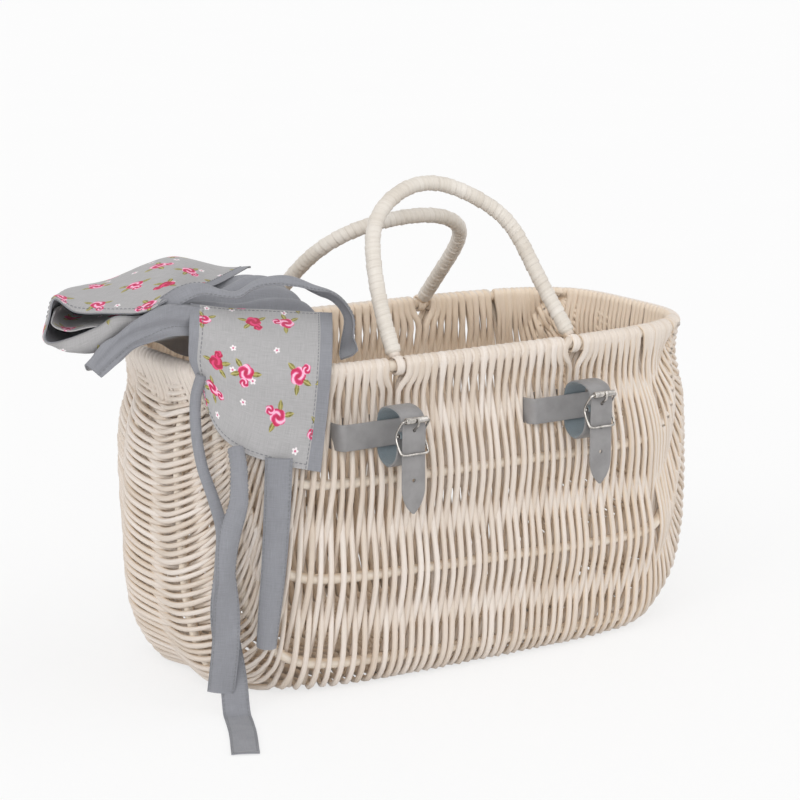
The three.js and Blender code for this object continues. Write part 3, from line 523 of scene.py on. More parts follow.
def wall_path(place):
    """Half of a rod's way in the pattern, from the middle of the base up a wall; it leans near corners."""
    v = np.linspace(0, beside(RIM_EDGE, place), HALF_POINTS)
    share = np.clip((1 - v) / (1 - BASE_SHARE), 0, 1)
    inset = np.interp(share * (len(SIDE) - 1), np.arange(len(SIDE)), SIDE[:, 0])
    near = max(1 - (CORNER_PLACE - place) / LEAN_SPREAD, 0)
    lean = (1 - CORNER_PLACE * RIM_LENGTH / BASE_LENGTH) * near ** 1.6
    slope = place * HALF_LENGTH / (HALF_LENGTH - inset) + lean * share
    return slope * np.maximum(v, BASE_SHARE), v


def end_path(depth):
    """Half of a rod's way across an end: level in the middle, then rising to the rim at the corner."""
    along = np.interp(depth, RISE_DEPTHS, RISE_SHARES) * CORNER_RIM
    ahead = (1 - CORNER_PLACE) * HALF_LENGTH
    rim = np.array([min(CORNER_PLACE + along / HALF_LENGTH, 1), min(1, 1 - (along - ahead) / HALF_WIDTH)])
    rim = rim * RIM_EDGE / square_size(*rim)
    start = outline_below(depth)
    high = (start - BASE_SHARE) / (1 - BASE_SHARE)
    knee = np.array([start, BASE_SHARE - 0.35 * high ** 0.7])
    t = np.linspace(0, 1, HALF_POINTS)[:, None]
    free = ((1 - t) ** 3 * np.array([start, 0]) + 3 * t * (1 - t) ** 2 * knee
            + 3 * t ** 2 * (1 - t) * (0.45 * knee + 0.55 * rim) + t ** 3 * rim)
    edge = np.column_stack(wall_path(CORNER_PLACE))
    edge = edge + (np.array([start, 0]) - edge[0]) * (1 - t) + (rim - edge[-1]) * t
    curve = edge + (free - edge) * ease(high, 0, 0.5)
    return curve[:, 0], curve[:, 1]


class Rod:
    """One pass of a rod from the front rim to the back rim; half is its way from the middle to a rim."""

    def __init__(self, half, side, outside, radius):
        u = side * np.concatenate([half[0][::-1], half[0][1:]])
        v = np.concatenate([-half[1][::-1], half[1][1:]])
        below = (1 - square_size(u, v)) / (1 - BASE_SHARE) * WALL_LENGTH
        start = weave(u[:1], v[:1])[0, 0]
        for foot in (-FOOT_PLACE, FOOT_PLACE):
            gap = start - foot
            shift = np.sign(gap) * FOOT_ROOM * max(0, 1 - abs(gap) / FOOT_SPREAD)
            u = u + shift / HALF_LENGTH * (1 - ease(below, *FOOT_FADE))
        self.radius = radius * random.uniform(0.9, 1.1)
        self.scale = 0.98 + 0.08 * ease(below, 20, 140) + 0.3 * ease(v, -0.56, -0.2)
        self.middle, self.normal = weave(u, v), weave_normal(u, v)
        self.along = lengths(self.middle)
        self.signs = outside * (-1.0) ** np.arange(10)
        self.stops = [0.0]
        for rib_place, lean in RIBS:
            past = v - (rib_place - lean * u)
            k = int(np.argmax(past > 0)) if past[-1] > 0 else len(v) - 1
            share = past[k - 1] / (past[k - 1] - past[k]) if 0 < k and past[k] > 0 else 1.0 if k else 0.0
            self.stops.append(self.along[max(k - 1, 0)] + share * (self.along[k] - self.along[max(k - 1, 0)]))
        self.stops = np.array(self.stops + [self.along[-1]])
        self.first = int(np.sum(self.stops[1:9] <= 0))
        self.last = 9 - int(np.sum(self.stops[1:9] >= self.along[-1]))
        self.signs[:self.first + 1] = -self.signs[self.first + 1]
        self.signs[self.last:] = -self.signs[self.last - 1]

    def at(self, places):
        found = rows_at(places, self.along, np.hstack([self.middle, self.normal]))
        return found[:, :3], unit(found[:, 3:])

    def run(self, first, last):
        """Points, normals, widths and thicknesses between two stops, counted from the front rim."""
        places = np.linspace(self.stops[first], self.stops[last],
                             max(4, int((self.stops[last] - self.stops[first]) / RING_STEP)))
        middle, normal = self.at(places)
        stops = self.stops[self.first:self.last + 1]
        reach = np.full(len(stops), RIB_REACH + self.radius * RIB_PRESS)
        reach[[0, -1]] = RIM_TURN
        reach = reach * self.signs[self.first:self.last + 1]
        k = np.clip(np.searchsorted(stops, places, side="right") - 1, 0, len(stops) - 2)
        share = np.clip((places - stops[k]) / np.maximum(stops[k + 1] - stops[k], 1e-6), 0, 1)
        turn = bend(share)
        offset = reach[k] * (1 - turn) + reach[k + 1] * turn
        phase, waves = random.uniform(0, 2 * math.pi, 2), random.uniform(0.02, 0.05, 2)
        sway = sum(SWAY[k] * np.sin(places * waves[k] + phase[k]) for k in range(2))
        sway *= ease(places, stops[0], stops[0] + 30) * ease(-places, -stops[-1], 30 - stops[-1])
        across = unit(np.cross(np.gradient(middle, axis=0), normal))
        rim = (1 - ease(places - stops[0], 3, 20)) + (1 - ease(stops[-1] - places, 3, 20))
        radius = self.radius * np.interp(places, self.along, self.scale)
        wide = radius + (RIM_WIDE - radius) * rim
        thick = radius + (RIM_THICK - radius) * rim
        points = middle + normal * offset[:, None] + across * sway[:, None]
        points[:, 2] = np.maximum(points[:, 2], thick + 0.1)
        return points, normal, wide, thick


def turn_round(first, second, stop):
    """Half turn of the rod from one pass to the next, round the rim or a rib."""
    rim = stop <= first.first or stop >= first.last
    (a, normal_a), (b, normal_b) = (rod.at(rod.stops[stop:stop + 1]) for rod in (first, second))
    angle = OVER[:, None]
    share = angle / math.pi
    middle = a * (1 - share) + b * share
    out = unit(normal_a * (1 - share) + normal_b * share) * first.signs[stop]
    if rim:
        past = np.broadcast_to(UP, out.shape)
    else:
        place = first.stops[stop]
        ahead = first.at(np.array([place - 1, place + 1]))[0]
        past = np.broadcast_to(unit(ahead[1] - ahead[0]) * (-1 if stop < 5 else 1), out.shape)
    radius = RIM_TURN if rim else RIB_REACH + first.radius * RIB_PRESS
    radial = out * np.cos(angle) + past * np.sin(angle)
    ones = np.ones(len(OVER))
    wide, thick = (RIM_WIDE, RIM_THICK) if rim else (first.radius * 1.05, first.radius * 0.9)
    return middle + radial * radius, radial, wide * ones, thick * ones


def weave_rods(rods, front_stops, back_stops):
    """One long rod that runs to and fro through all the passes."""
    parts = []
    for i, rod in enumerate(rods):
        front, back = front_stops[i // 2], back_stops[(i + 1) // 2]
        points, normals, wide, thick = rod.run(front, back)
        if i % 2 == 0:
            parts.append((points[::-1], normals[::-1], wide[::-1], thick[::-1]))
            if i + 1 < len(rods):
                parts.append(turn_round(rod, rods[i + 1], front))
        else:
            parts.append((points, -normals, wide, thick))
            if i + 1 < len(rods):
                points, radial, wide, thick = turn_round(rod, rods[i + 1], back)
                parts.append((points, -radial, wide, thick))
    return [np.concatenate([part[k] for part in parts]) for k in range(4)]


def end_turns(depths):
    """Stops where each pair of rods across an end turns back, at the front and at the back."""
    front, back = [], []
    for i in range(len(depths) // 2 + 1):
        depth = depths[min(2 * i, len(depths) - 1)]
        ways = (0, 0, 0, 0)
        if SHALLOW < depth < WALL_LENGTH - DEEP:
            ways = (0, 2, 1, 2) if depth > MIDDLE else (0, 1, 0, 1)
        front.append(ways[i % 4])
        back.append(9 - ways[(i + 2) % 4])
    return front, back


def rim_rings(pile, rods):
    """Turns wound tight round the rim between the rods that come over it."""
    angle = circle(16)[:, None]
    for first, second in zip(rods[:-1], rods[1:]):
        for end in (0, -1):
            middle = (first.middle[end] + second.middle[end]) / 2
            out = unit((first.normal[end] + second.normal[end]) * [1, 1, 0])
            if np.linalg.norm(first.middle[end] - second.middle[end]) > 3 * RIM_WIDE:
                continue
            radial = out * np.cos(angle) + UP * np.sin(angle)
            pile.tube(middle + radial * (RIM_TURN - 0.35), radial, RIM_WIDE * 0.62, RIM_THICK, loop=True)


def build_weave():
    depths = np.arange(16.0, WALL_LENGTH - 1, END_PITCH)
    depths = depths[:len(depths) // 2 * 2]
    for name, side in ENDS:
        rods = [Rod(end_path(depth), side, (-1) ** i, END_RADIUS) for i, depth in enumerate(depths)]
        pile = Pile().tube(*weave_rods(rods, *end_turns(depths)))
        pile.build(f"{name}_end_rods", [WILLOW], "basket", [f"{name}_rim_wrap"], "willow")
    count = int(2 * CORNER_PLACE * HALF_LENGTH / FRONT_PITCH) // 2 * 2
    places = (np.arange(count) - (count - 1) / 2) * FRONT_PITCH / HALF_LENGTH
    places = places + random.uniform(-UNEVEN, UNEVEN, count) / HALF_LENGTH
    rods = [Rod(wall_path(abs(place)), np.sign(place), (-1) ** i, ROD_RADIUS)
            for i, place in enumerate(places)]
    pile = Pile().tube(*weave_rods(rods, [0] * (count + 1), [9] * (count + 1)))
    rim_rings(pile, rods)
    courses = [f"{place}_course" for place in (
        "front_rim", "front_middle", "front_lower", "front_base", "middle_base", "back_base", "back_lower",
        "back_middle", "back_rim")]
    pile.build("wall_rods", [WILLOW], "basket", courses + ["front_rim_wrap", "back_rim_wrap"], "willow")


def build_ribs():
    names = ["front_upper", "front_lower", "front_heel", "front_base", "back_base", "back_heel", "back_lower",
             "back_upper"]
    for name, (place, lean) in zip(names, RIBS):
        f = np.linspace(-1, 1, 700)
        v = np.full_like(f, place)
        for _ in range(8):
            u = f * beside(outline_below(3.0), v)
            v = place - lean * u
        rows = resample(np.hstack([weave(u, v), weave_normal(u, v)]), 150, lengths(weave(u, v)))
        pile = Pile().tube(rows[:, :3], rows[:, 3:], RIB_RADIUS, RIB_RADIUS, 10)
        pile.build(f"{name}_rib_rod", [RIB_WILLOW_PAINTED_LIGHT], "basket", [f"{name}_rib"], "willow")


def rim_points(count):
    c, s = np.cos(circle(4000)), np.sin(circle(4000))
    rim = np.column_stack([HALF_LENGTH * np.sign(c) * np.abs(c) ** (2 / RIM_SQUARENESS),
                           HALF_WIDTH * np.sign(s) * np.abs(s) ** (2 / RIM_SQUARENESS),
                           np.full_like(c, RIM_HEIGHT)])
    return resample(np.vstack([rim, rim[:1]]), count + 1)[:-1]


def rim_turn(pile, side, y):
    """Rod over the rim of an end: 8 points up the outside, 7 over the hoop and 14 down the inside."""
    slant = TURN_SLANT * side * random.uniform(0.7, 1.1)
    below = np.r_[np.linspace(TURN_FOOT, 0, 8), np.zeros(7), np.linspace(0, random.uniform(*TURN_TAIL), 14)]
    angle = np.r_[np.zeros(8), OVER, np.full(14, math.pi)][:, None]
    shift = np.r_[np.linspace(1, -0.3, 15), -0.3 - 0.9 * np.linspace(0, 1, 14) ** 2] * slant
    v = (y + shift) / HALF_WIDTH
    u = side * beside(outline_below(below), v)
    reach = np.r_[np.linspace(1.5, RIM_TURN, 8), np.full(7, RIM_TURN), np.linspace(RIM_TURN, 4.6, 14)]
    radial = weave_normal(u, v) * np.cos(angle) + UP * np.sin(angle)
    flat = 1 - ease(below, 2, 18)
    pile.tube(weave(u, v) + radial * reach[:, None], radial, ROD_RADIUS + 0.9 * flat,
              ROD_RADIUS - 0.75 * flat)


def build_rim():
    pile = Pile().tube(rim_points(260), UP, HOOP_RADIUS, HOOP_RADIUS, 10, loop=True)
    pile.build("rim_hoop_rod", [RIB_WILLOW_PAINTED_LIGHT], "basket", ["rim_hoop"], "willow")
    for name, side in ENDS:
        pile = Pile()
        for y in np.arange(-TURN_REACH, TURN_REACH + 0.1, TURN_PITCH):
            rim_turn(pile, side, y)
        pile.build(f"{name}_rim_turns", [WILLOW], "basket", slot="willow")


# Handles

HANDLE_RISE = 146.0
EYE_PLACE = HALF_WIDTH * beside(1, FOOT_PLACE / HALF_LENGTH, RIM_SQUARENESS)
FRONT_ARCH = [(-1, 0.045), (-1, 0.12), (-0.99, 0.31), (-0.94, 0.5), (-0.89, 0.63), (-0.855, 0.715),
              (-0.8, 0.785), (-0.67, 0.86), (-0.47, 0.93), (-0.26, 0.985), (0, 1), (0.2, 0.97), (0.39, 0.905),
              (0.57, 0.835), (0.69, 0.79), (0.765, 0.73), (0.8, 0.645), (0.835, 0.5), (0.885, 0.335),
              (0.95, 0.19), (0.99, 0.1), (1, 0.045)]
BACK_ARCH = [(-1, 0.045), (-0.99, 0.12), (-0.96, 0.25), (-0.925, 0.42), (-0.895, 0.58), (-0.86, 0.69),
             (-0.79, 0.795), (-0.65, 0.885), (-0.39, 0.965), (-0.135, 1), (0.14, 0.985), (0.41, 0.95),
             (0.62, 0.89), (0.79, 0.79), (0.9, 0.63), (0.93, 0.42), (0.98, 0.18), (1, 0.045)]
ARCH_SMOOTHING = 3000   # the rod bends evenly
BOW_RADIUS = 4.3
SKEIN_PITCH, SKEIN_RADIUS, SKEIN_STEP = 5.2, 5.1, 0.5
BARE_END = 2.5          # the winding starts this far up the arch
EYE_RADIUS, EYE_HALF, EYE_TURNS, EYE_START = 6.2, 2.9, 2.15, 0.6


def wound_radius(place, total, turn, phase):
    """Radius of the winding, whose turns lie crowned and uneven, each over the edge of the last."""
    share = turn - np.floor(turn)
    crown = np.clip(1 - np.abs(2 * share - 1) ** 9, 0, 1) ** 0.5
    lift = 0.35 * np.sin(np.floor(turn) * 2.4 + phase)
    radius = SKEIN_RADIUS + 0.8 * crown + 0.5 * (share - 0.5) * crown + 0.5 * lift * crown
    ends = ease(place, BARE_END, BARE_END + 2) * ease(-place, BARE_END - total, BARE_END + 2 - total)
    return BOW_RADIUS + (radius - BOW_RADIUS) * ends[:, None]


def build_handle(name, side, points, lean):
    """Arch on the front (side -1) or back (side 1), leaning inward by degrees."""
    tilt = math.radians(lean)
    arch = spline([(x * FOOT_PLACE, 0, rise * HANDLE_RISE) for x, rise in points], 1200)
    for _ in range(ARCH_SMOOTHING):
        arch[1:-1] = (arch[:-2] + arch[2:]) / 2

    def placed(points):
        x, y, z = points[..., 0], points[..., 1], points[..., 2]
        y, z = y * math.cos(tilt) + z * math.sin(tilt), z * math.cos(tilt) - y * math.sin(tilt)
        return np.stack([-side * x, -side * y + side * EYE_PLACE, z + RIM_HEIGHT], axis=-1)

    along = lengths(arch)
    total = along[-1]
    place = np.linspace(BARE_END, total - BARE_END, int((total - 2 * BARE_END) / SKEIN_STEP))
    centre = rows_at(place, along, arch)
    across = np.array([0.0, 1.0, 0.0])
    up = np.cross(unit(np.gradient(centre, axis=0)), across)
    angle = circle(22)
    phase = random.uniform(0, 6, 3)
    uneven = 1.1 * np.sin(place * 0.07 + phase[0]) + 0.8 * np.sin(place * 0.16 + phase[1])
    turn = (place + uneven)[:, None] / SKEIN_PITCH - angle / (2 * math.pi)
    radius = wound_radius(place, total, turn, phase[2])
    ring = (centre[:, None] + across * (radius * np.cos(angle))[..., None]
            + up[:, None] * (radius * np.sin(angle))[..., None])
    marks = np.stack([turn * SKEIN_PITCH, angle * 5 + np.floor(turn) * 31], axis=-1)
    body = f"{name}_handle"
    marks = np.concatenate([marks, marks[:, :1]], axis=1)
    pile = Pile().grid(placed(ring), marks, wrap=True, caps=True)
    pile.build(f"{name}_handle_skein", [SKEIN], body, [f"{name}_handle_winding"], "skein")
    pile = Pile().tube(placed(resample(arch, 120)), np.array([0.0, -side, 0.0]), BOW_RADIUS, BOW_RADIUS, 14)
    for foot in (-1, 1):
        turn = np.linspace(0, EYE_TURNS * 2 * math.pi, 60) + EYE_START
        x = foot * FOOT_PLACE + np.linspace(-EYE_HALF, EYE_HALF, 60) * foot
        radial = np.column_stack([0 * x, -np.cos(turn), np.sin(turn)])
        path = x[:, None] * [1, 0, 0] + EYE_RADIUS * radial
        tips = np.sin(np.linspace(0, math.pi, 60)) ** 0.3
        pile.tube(placed(path), placed(path + radial) - placed(path), 0.4 + 2.0 * tips, 0.4 + 0.9 * tips, 10)
    pile.build(f"{name}_handle_bow", [WILLOW], body, [f"{name}_handle_rod"], "willow")


# Leather straps and buckles

STRAP_HEIGHT, STRAP_WIDTH, LEATHER_SHEET = 199.0, 20.0, 1.8
LOOP_HEIGHT, LOOP_DEPTH, TAIL_DROP = 46.0, 30.0, 55.0
BAND_LEFT, BAND_RIGHT, TIP_LENGTH, HOLE_RADIUS = 42, 16, 19, 1.5
WIRE, CURL, BAR_RISE = 1.8, 2.4, 3.0
REAR_RUN, BAND_RUN, TAIL_RUN, ROLLER_RUN, KEEPER_RUN = 1.2, 3.3, 34.5, 38.1, 36.9
ROLLER_RISE, KEEPER_DROP, FRAME_HALF = 15.5, 10.0, 12.0
HOLE_RISES = (BAR_RISE + 4.7, -KEEPER_DROP - 0.5, -KEEPER_DROP - 20)
SLOT_RISES, SLOT_HALF = (0.5, 11.6), 2.1    # opening for the prong in the fold round the bar
ROLLER = [(-9.2, 1.5), (-9.2, 2.15), (-8.9, 2.4), (8.9, 2.4), (9.2, 2.15), (9.2, 1.5)]
# Place along the basket, seat on the wall, and how far from the middle a band's inner side lies at its ends
STRAPS = (("left", -93.0, -114.778, (97.0, 99.6)), ("right", 77.0, -115.29, (100.2, 100.1)))


def strap_line():
    """Middle of the strap: outward run and rise, from its fold round the bar to its tip."""
    turn = np.radians(np.linspace(-27, 180, 16))
    curl = np.column_stack([LOOP_DEPTH + CURL * np.cos(turn), BAR_RISE + CURL * np.sin(turn)])
    half, middle = LOOP_HEIGHT / 2 - LEATHER_SHEET / 2, LOOP_DEPTH / 2
    front = LOOP_DEPTH - CURL
    loop = [(front, BAR_RISE - 2), (front, -half * 0.4), (front - 3, -half * 0.74), (middle, -half),
            (REAR_RUN + 3, -half * 0.8), (REAR_RUN, -half * 0.52), (REAR_RUN, 0), (REAR_RUN, half * 0.52),
            (REAR_RUN + 3, half * 0.8), (middle, half), (TAIL_RUN - 4, half * 0.86),
            (TAIL_RUN, ROLLER_RISE - 4), (TAIL_RUN, -KEEPER_DROP), (TAIL_RUN, -TAIL_DROP)]
    return np.vstack([curl[:-1], spline([(a, b, 0) for a, b in loop], 130)[:, :2]])


def strip(points, half_width):
    """Leather strip along points, with round edges; its width is along x."""
    across = np.array([1.0, 0.0, 0.0])
    normal = np.cross(unit(np.gradient(points, axis=0)), across)
    t, r = LEATHER_SHEET / 2, LEATHER_SHEET * 0.42
    outline = []
    for edge, face in ((1, 1), (-1, 1), (-1, -1), (1, -1)):
        for a in (0, 30, 60, 90)[::edge * face]:
            turn = math.radians(a)
            outline.append((edge, edge * (-r + r * math.cos(turn)), face * (t - r + r * math.sin(turn))))
    edge, inset, height = np.array(outline).T
    half = np.asarray(half_width)[:, None] * edge + inset
    return points[:, None] + across * half[..., None] + normal[:, None] * height[:, None]


def pierced(piece, cutters):
    """Cuts round or square holes, each a closed Pile, through a piece."""
    for i, cutter in enumerate(cutters):
        tool = link("cutter", cutter.mesh("cutter"))
        hole = piece.modifiers.new(f"hole_{i}", "BOOLEAN")
        hole.object, hole.operation, hole.solver = tool, "DIFFERENCE", "EXACT"
        bpy.context.view_layer.update()
        cut = bpy.data.meshes.new_from_object(piece.evaluated_get(bpy.context.evaluated_depsgraph_get()))
        piece.modifiers.clear()
        piece.data = cut
        cut.set_sharp_from_angle(angle=math.radians(50))
        bpy.data.objects.remove(tool)


def build_strap(name, x, seat):
    body = f"{name}_buckle_strap"

    def placed(run, rise, side=0.0):
        run, rise = np.broadcast_arrays(np.asarray(run, float), np.asarray(rise, float))
        return np.stack([x + np.broadcast_to(side, run.shape), seat - run, STRAP_HEIGHT + rise], axis=-1)

    points = placed(*strap_line().T)
    tip = lengths(points)[-1] - lengths(points)
    taper = np.clip(1 - (1 - np.clip(tip / TIP_LENGTH, 0, 1)) ** 1.9, 0, 1) ** 0.72
    ring = strip(points, STRAP_WIDTH / 2 * np.maximum(taper, 0.1))
    kinds = np.zeros(ring.shape[:2], int)
    kinds[:, 8:12] = 1
    pile = Pile().grid(ring, wrap=True, caps=True, kinds=kinds)
    strap = pile.build(f"{name}_strap_leather", [LEATHER, SUEDE], body, [f"{name}_strap"], "leather")
    turn, r = circle(20), HOLE_RADIUS
    cuts = [(TAIL_RUN, (-3, 3), rise + r * np.sin(turn), r * np.cos(turn)) for rise in HOLE_RISES]
    cuts.append((LOOP_DEPTH, (-1.0, 3.45), np.repeat(SLOT_RISES, 2), SLOT_HALF * np.array([-1, 1, 1, -1])))
    rings = [np.stack([placed(run + out, rises, sides) for out in outs]) for run, outs, rises, sides in cuts]
    pierced(strap, [Pile().grid(ring, wrap=True, caps=True) for ring in rings])

    h = FRAME_HALF
    half = np.array([
        (h - 3, ROLLER_RUN, ROLLER_RISE), (h - 0.6, ROLLER_RUN - 0.6, ROLLER_RISE - 1),
        (h, ROLLER_RUN - 3, ROLLER_RISE - 4), (h, LOOP_DEPTH, BAR_RISE), (h, KEEPER_RUN - 2, 3 - KEEPER_DROP),
        (h - 0.6, KEEPER_RUN - 0.4, 0.8 - KEEPER_DROP), (h - 3, KEEPER_RUN, -KEEPER_DROP)])
    other = half * [-1, 1, 1]
    wire = np.vstack([other[:1], half[:1] * [0, 1, 1], half, half[-1:] * [0, 1, 1], other[:0:-1]])
    path = spline(wire, 121, closed=True)[:-1]
    path = placed(path[:, 1], path[:, 2], path[:, 0])
    pile = Pile().tube(path, path - path.mean(axis=0), WIRE / 2, WIRE / 2, 12, loop=True)
    pile.tube(placed(np.full(12, LOOP_DEPTH), BAR_RISE, np.linspace(-h, h, 12)), UP, WIRE / 2, WIRE / 2, 12)
    pile.build(f"{name}_buckle_wire", [NICKEL], body, [f"{name}_buckle_frame"], "nickel")

    turn = circle(24)
    sleeve = np.stack([placed(ROLLER_RUN + r * np.cos(turn), ROLLER_RISE + r * np.sin(turn), place)
                       for place, r in ROLLER])
    pile = Pile().grid(sleeve, wrap=True, loop=True)
    pile.build(f"{name}_roller_sleeve", [NICKEL], f"{name}_roller", [f"{name}_buckle_roller"], "nickel")

    turn = circle(20)
    ring = placed(LOOP_DEPTH + 2.25 * np.cos(turn), BAR_RISE + 2.25 * np.sin(turn))
    pile = Pile().tube(ring, ring - placed(LOOP_DEPTH, BAR_RISE), 1.5, 0.65, 10, loop=True)
    top = ROLLER_RUN + 3.5
    prong = spline([(LOOP_DEPTH + 2.0, BAR_RISE + 1.0, 0), (TAIL_RUN, BAR_RISE + 3.8, 0),
                    (top - 0.6, ROLLER_RISE - 3, 0), (top, ROLLER_RISE, 0),
                    (top - 0.4, ROLLER_RISE + 3, 0)], 40)
    thin = 1.0 - 0.35 * ease(np.linspace(0, 1, 40), 0.75, 1)
    pile.tube(placed(prong[:, 0], prong[:, 1]), np.array([1.0, 0.0, 0.0]), thin * 0.95, thin, 12)
    pile.build(f"{name}_prong", [NICKEL], f"{name}_pin", [f"{name}_buckle_pin"], "nickel")


def build_band(name, x, seat, back_left, back_right):
    """Closed band through the weave."""
    left, right, outside = x - BAND_LEFT, x + BAND_RIGHT, BAND_RUN - seat
    line = spline([(left, -(outside - 4), 0), (left + 3, -outside, 0), (left + 6, -outside, 0),
                   (right - 6, -outside, 0), (right - 3, -outside, 0), (right, -(outside - 4), 0),
                   (right, -back_right - 3, 0), (right - 3, -back_right, 0), (left + 3, -back_left, 0),
                   (left, -back_left - 3, 0)], 121, closed=True)[:-1]
    points = line + UP * STRAP_HEIGHT
    normal = np.cross(unit(np.roll(points, -1, 0) - np.roll(points, 1, 0)), UP)
    corner = [(0.8, 0), (0.2, 0.2), (0, 0.75)]
    outline = [(h * (STRAP_WIDTH / 2 - e), t * (LEATHER_SHEET / 2 - d))
               for h, t in ((1, 1), (1, -1), (-1, -1), (-1, 1)) for e, d in corner[::h * t]]
    section = np.stack([points + UP * a + normal * b for a, b in outline], axis=1)
    pile = Pile().grid(section, wrap=True, loop=True)
    pile.build(f"{name}_band_leather", [LEATHER], "basket", [f"{name}_strap_band"], "leather")


build_weave()
build_ribs()
build_rim()
build_handle("front", -1, FRONT_ARCH, 32)
build_handle("back", 1, BACK_ARCH, 50)
for name, x, seat, _ in STRAPS:
    build_strap(name, x, seat)
for name, x, seat, back in STRAPS:
    build_band(name, x, seat, *back)


# Cotton cover

CLOTH_SHEET, TIE_SHEET = 1.0, 1.1
STITCH_PITCH, STITCH_LENGTH = 3.3, 2.3
STITCH_BOW = np.array([-0.25, 0.15, 0.25, 0.15, -0.25])
# Points of each cloth, row by row
FOLD = [
    [(-240, -46, 292), (-239, -44, 288), (-232, -12, 283), (-222, 20, 274), (-205, 27, 301)],
    [(-260, -46, 291), (-259, -44, 284), (-254, -12, 279), (-244, 20, 271), (-222, 27, 298)],
    [(-280, -46, 293), (-281, -44, 277), (-276, -12, 274), (-264, 20, 271), (-243, 27, 295)],
    [(-294, -46, 287), (-295, -44, 269.5), (-286, -12, 271), (-272, 20, 272), (-255, 27, 292)],
    [(-315, -46, 281), (-316, -44, 271.5), (-300, -12, 274), (-282, 20, 277), (-268, 27, 293)],
    [(-331, -46, 279), (-331.5, -44, 277.5), (-309, -12, 280), (-289, 20, 283), (-280, 27, 293)],
    [(-335, -46, 282), (-335, -43, 282), (-312, -12, 286), (-292, 20, 288), (-285, 27, 294)],
    [(-331, -46, 297), (-330.5, -41, 297), (-309, -12, 297), (-291, 20, 294), (-285, 27, 296)],
    [(-327, -46, 310), (-323, -37, 311), (-302, -10, 307), (-284, 22, 300), (-280, 30, 297)],
    [(-311, -46, 299.5), (-306, -34, 306.5), (-288, -10, 309), (-268, 25, 302.5), (-262, 30, 300)],
    [(-288, -46, 296), (-283, -34, 302), (-270, -10, 308), (-246, 26, 306), (-240, 31, 303)],
    [(-260, -46, 293), (-255, -34, 300), (-242, -10, 311), (-219, 26, 314.5), (-213, 31, 311)],
    [(-248, -46, 295), (-236, -33, 302), (-213, -8, 313.5), (-195, 26, 318.5), (-190, 31, 315)],
    [(-242, -46, 298), (-222, -27, 304), (-190, -4, 304), (-150, 26, 307), (-146, 31, 305)],
    [(-238, -46, 299.5), (-211, -20, 302.5), (-173, 0, 299.5), (-128.6, 26, 305.8), (-125, 31, 304)],
]
INNER = [
    [(-324, -40, 300), (-318, -28, 300), (-302, -8, 298), (-286, 12, 294)],
    [(-328, -44, 292), (-320, -30, 292), (-304, -8, 291), (-288, 12, 289)],
    [(-316, -44.5, 286), (-310, -30, 285), (-298, -8, 285), (-282, 12, 285)],
    [(-298, -45, 287), (-294, -30, 286), (-284, -8, 286), (-270, 12, 286)],
    [(-276, -45, 289), (-274, -30, 288), (-266, -8, 288), (-254, 12, 288)],
    [(-256, -45, 290), (-255, -30, 291), (-250, -8, 291), (-238, 12, 291)],
]
LINING = [
    [(-296, -54, 251.5), (-306, -50, 261), (-304, -47, 257), (-298, -38, 254), (-292, -28, 252),
     (-288, -22, 250.5)],
    [(-281, -55, 262), (-293, -51, 275), (-291, -48, 266), (-282, -34, 262), (-272, -18, 260),
     (-265, -8, 258)],
    [(-270, -55, 269.5), (-274, -51.5, 286), (-273, -48.5, 272), (-266, -28, 266), (-258, -4, 262),
     (-254, 6, 260)],
    [(-256, -55, 273), (-257, -51.5, 294), (-255, -48.5, 276), (-248, -22, 268), (-242, 10, 262),
     (-239, 20, 262)],
    [(-240, -55, 276), (-238, -51.5, 298), (-235, -48.5, 280), (-225, -18, 268), (-222, 18, 259),
     (-215, 27, 259)],
    [(-222, -57, 275.5), (-218, -53, 295.5), (-214, -50, 285), (-200, -16, 270), (-195, 20, 258),
     (-188, 28, 243)],
    [(-205, -60, 283), (-202, -55, 292.5), (-197, -52, 288), (-175, -16, 279), (-165, 20, 268),
     (-158, 28, 236)],
]
GATHER = [
    [(-228, 12, 285), (-205, 14, 294), (-175, 14, 296), (-143, 14, 302), (-124, 12, 297), (-108, 8, 275)],
    [(-231, -15, 287), (-205, -12, 296), (-175, -10, 293), (-143, -8, 301), (-121, -10, 293),
     (-105, -12, 270)],
    [(-234, -38, 290), (-206, -36, 296), (-176, -38, 290), (-146, -36, 292), (-122, -38, 287),
     (-106, -38, 268)],
    [(-239, -46, 290), (-208, -50, 292), (-176, -55, 287), (-146, -59, 282), (-124, -61, 279),
     (-112, -60, 272)],
]
FLAP = [
    [(-111, -66, 282), (-139, -63, 285.5), (-167, -59, 289), (-194, -55, 292), (-221.5, -50, 297.5)],
    [(-126.5, -92, 271), (-154, -89, 273.5), (-182, -84, 275.5), (-207.5, -76, 277.5), (-228.5, -61, 279)],
    [(-141, -114.5, 252), (-168.5, -109.5, 252.5), (-194, -99, 253), (-214, -84, 254.5), (-228, -60, 258.5)],
    [(-146, -115, 213), (-170.5, -109.5, 214.5), (-196, -98.5, 221), (-214.5, -83, 231),
     (-226, -64.5, 247.5)],
    [(-153, -118, 176.5), (-182.5, -109.5, 184.5), (-206, -95.5, 194.5), (-217, -81, 208),
     (-223.5, -69.5, 237)],
]


def smooth_grid(control, rows, columns):
    across = np.stack([spline(row, columns) for row in control])
    return np.stack([spline(across[:, j], rows) for j in range(columns)], axis=1)


def grid_normals(points):
    return unit(np.cross(np.gradient(points, axis=0), np.gradient(points, axis=1)))


def shares(rows, columns):
    """How far down and across a sheet its points lie, from 0 to 1."""
    return np.meshgrid(np.linspace(0, 1, rows), np.linspace(0, 1, columns), indexing="ij")


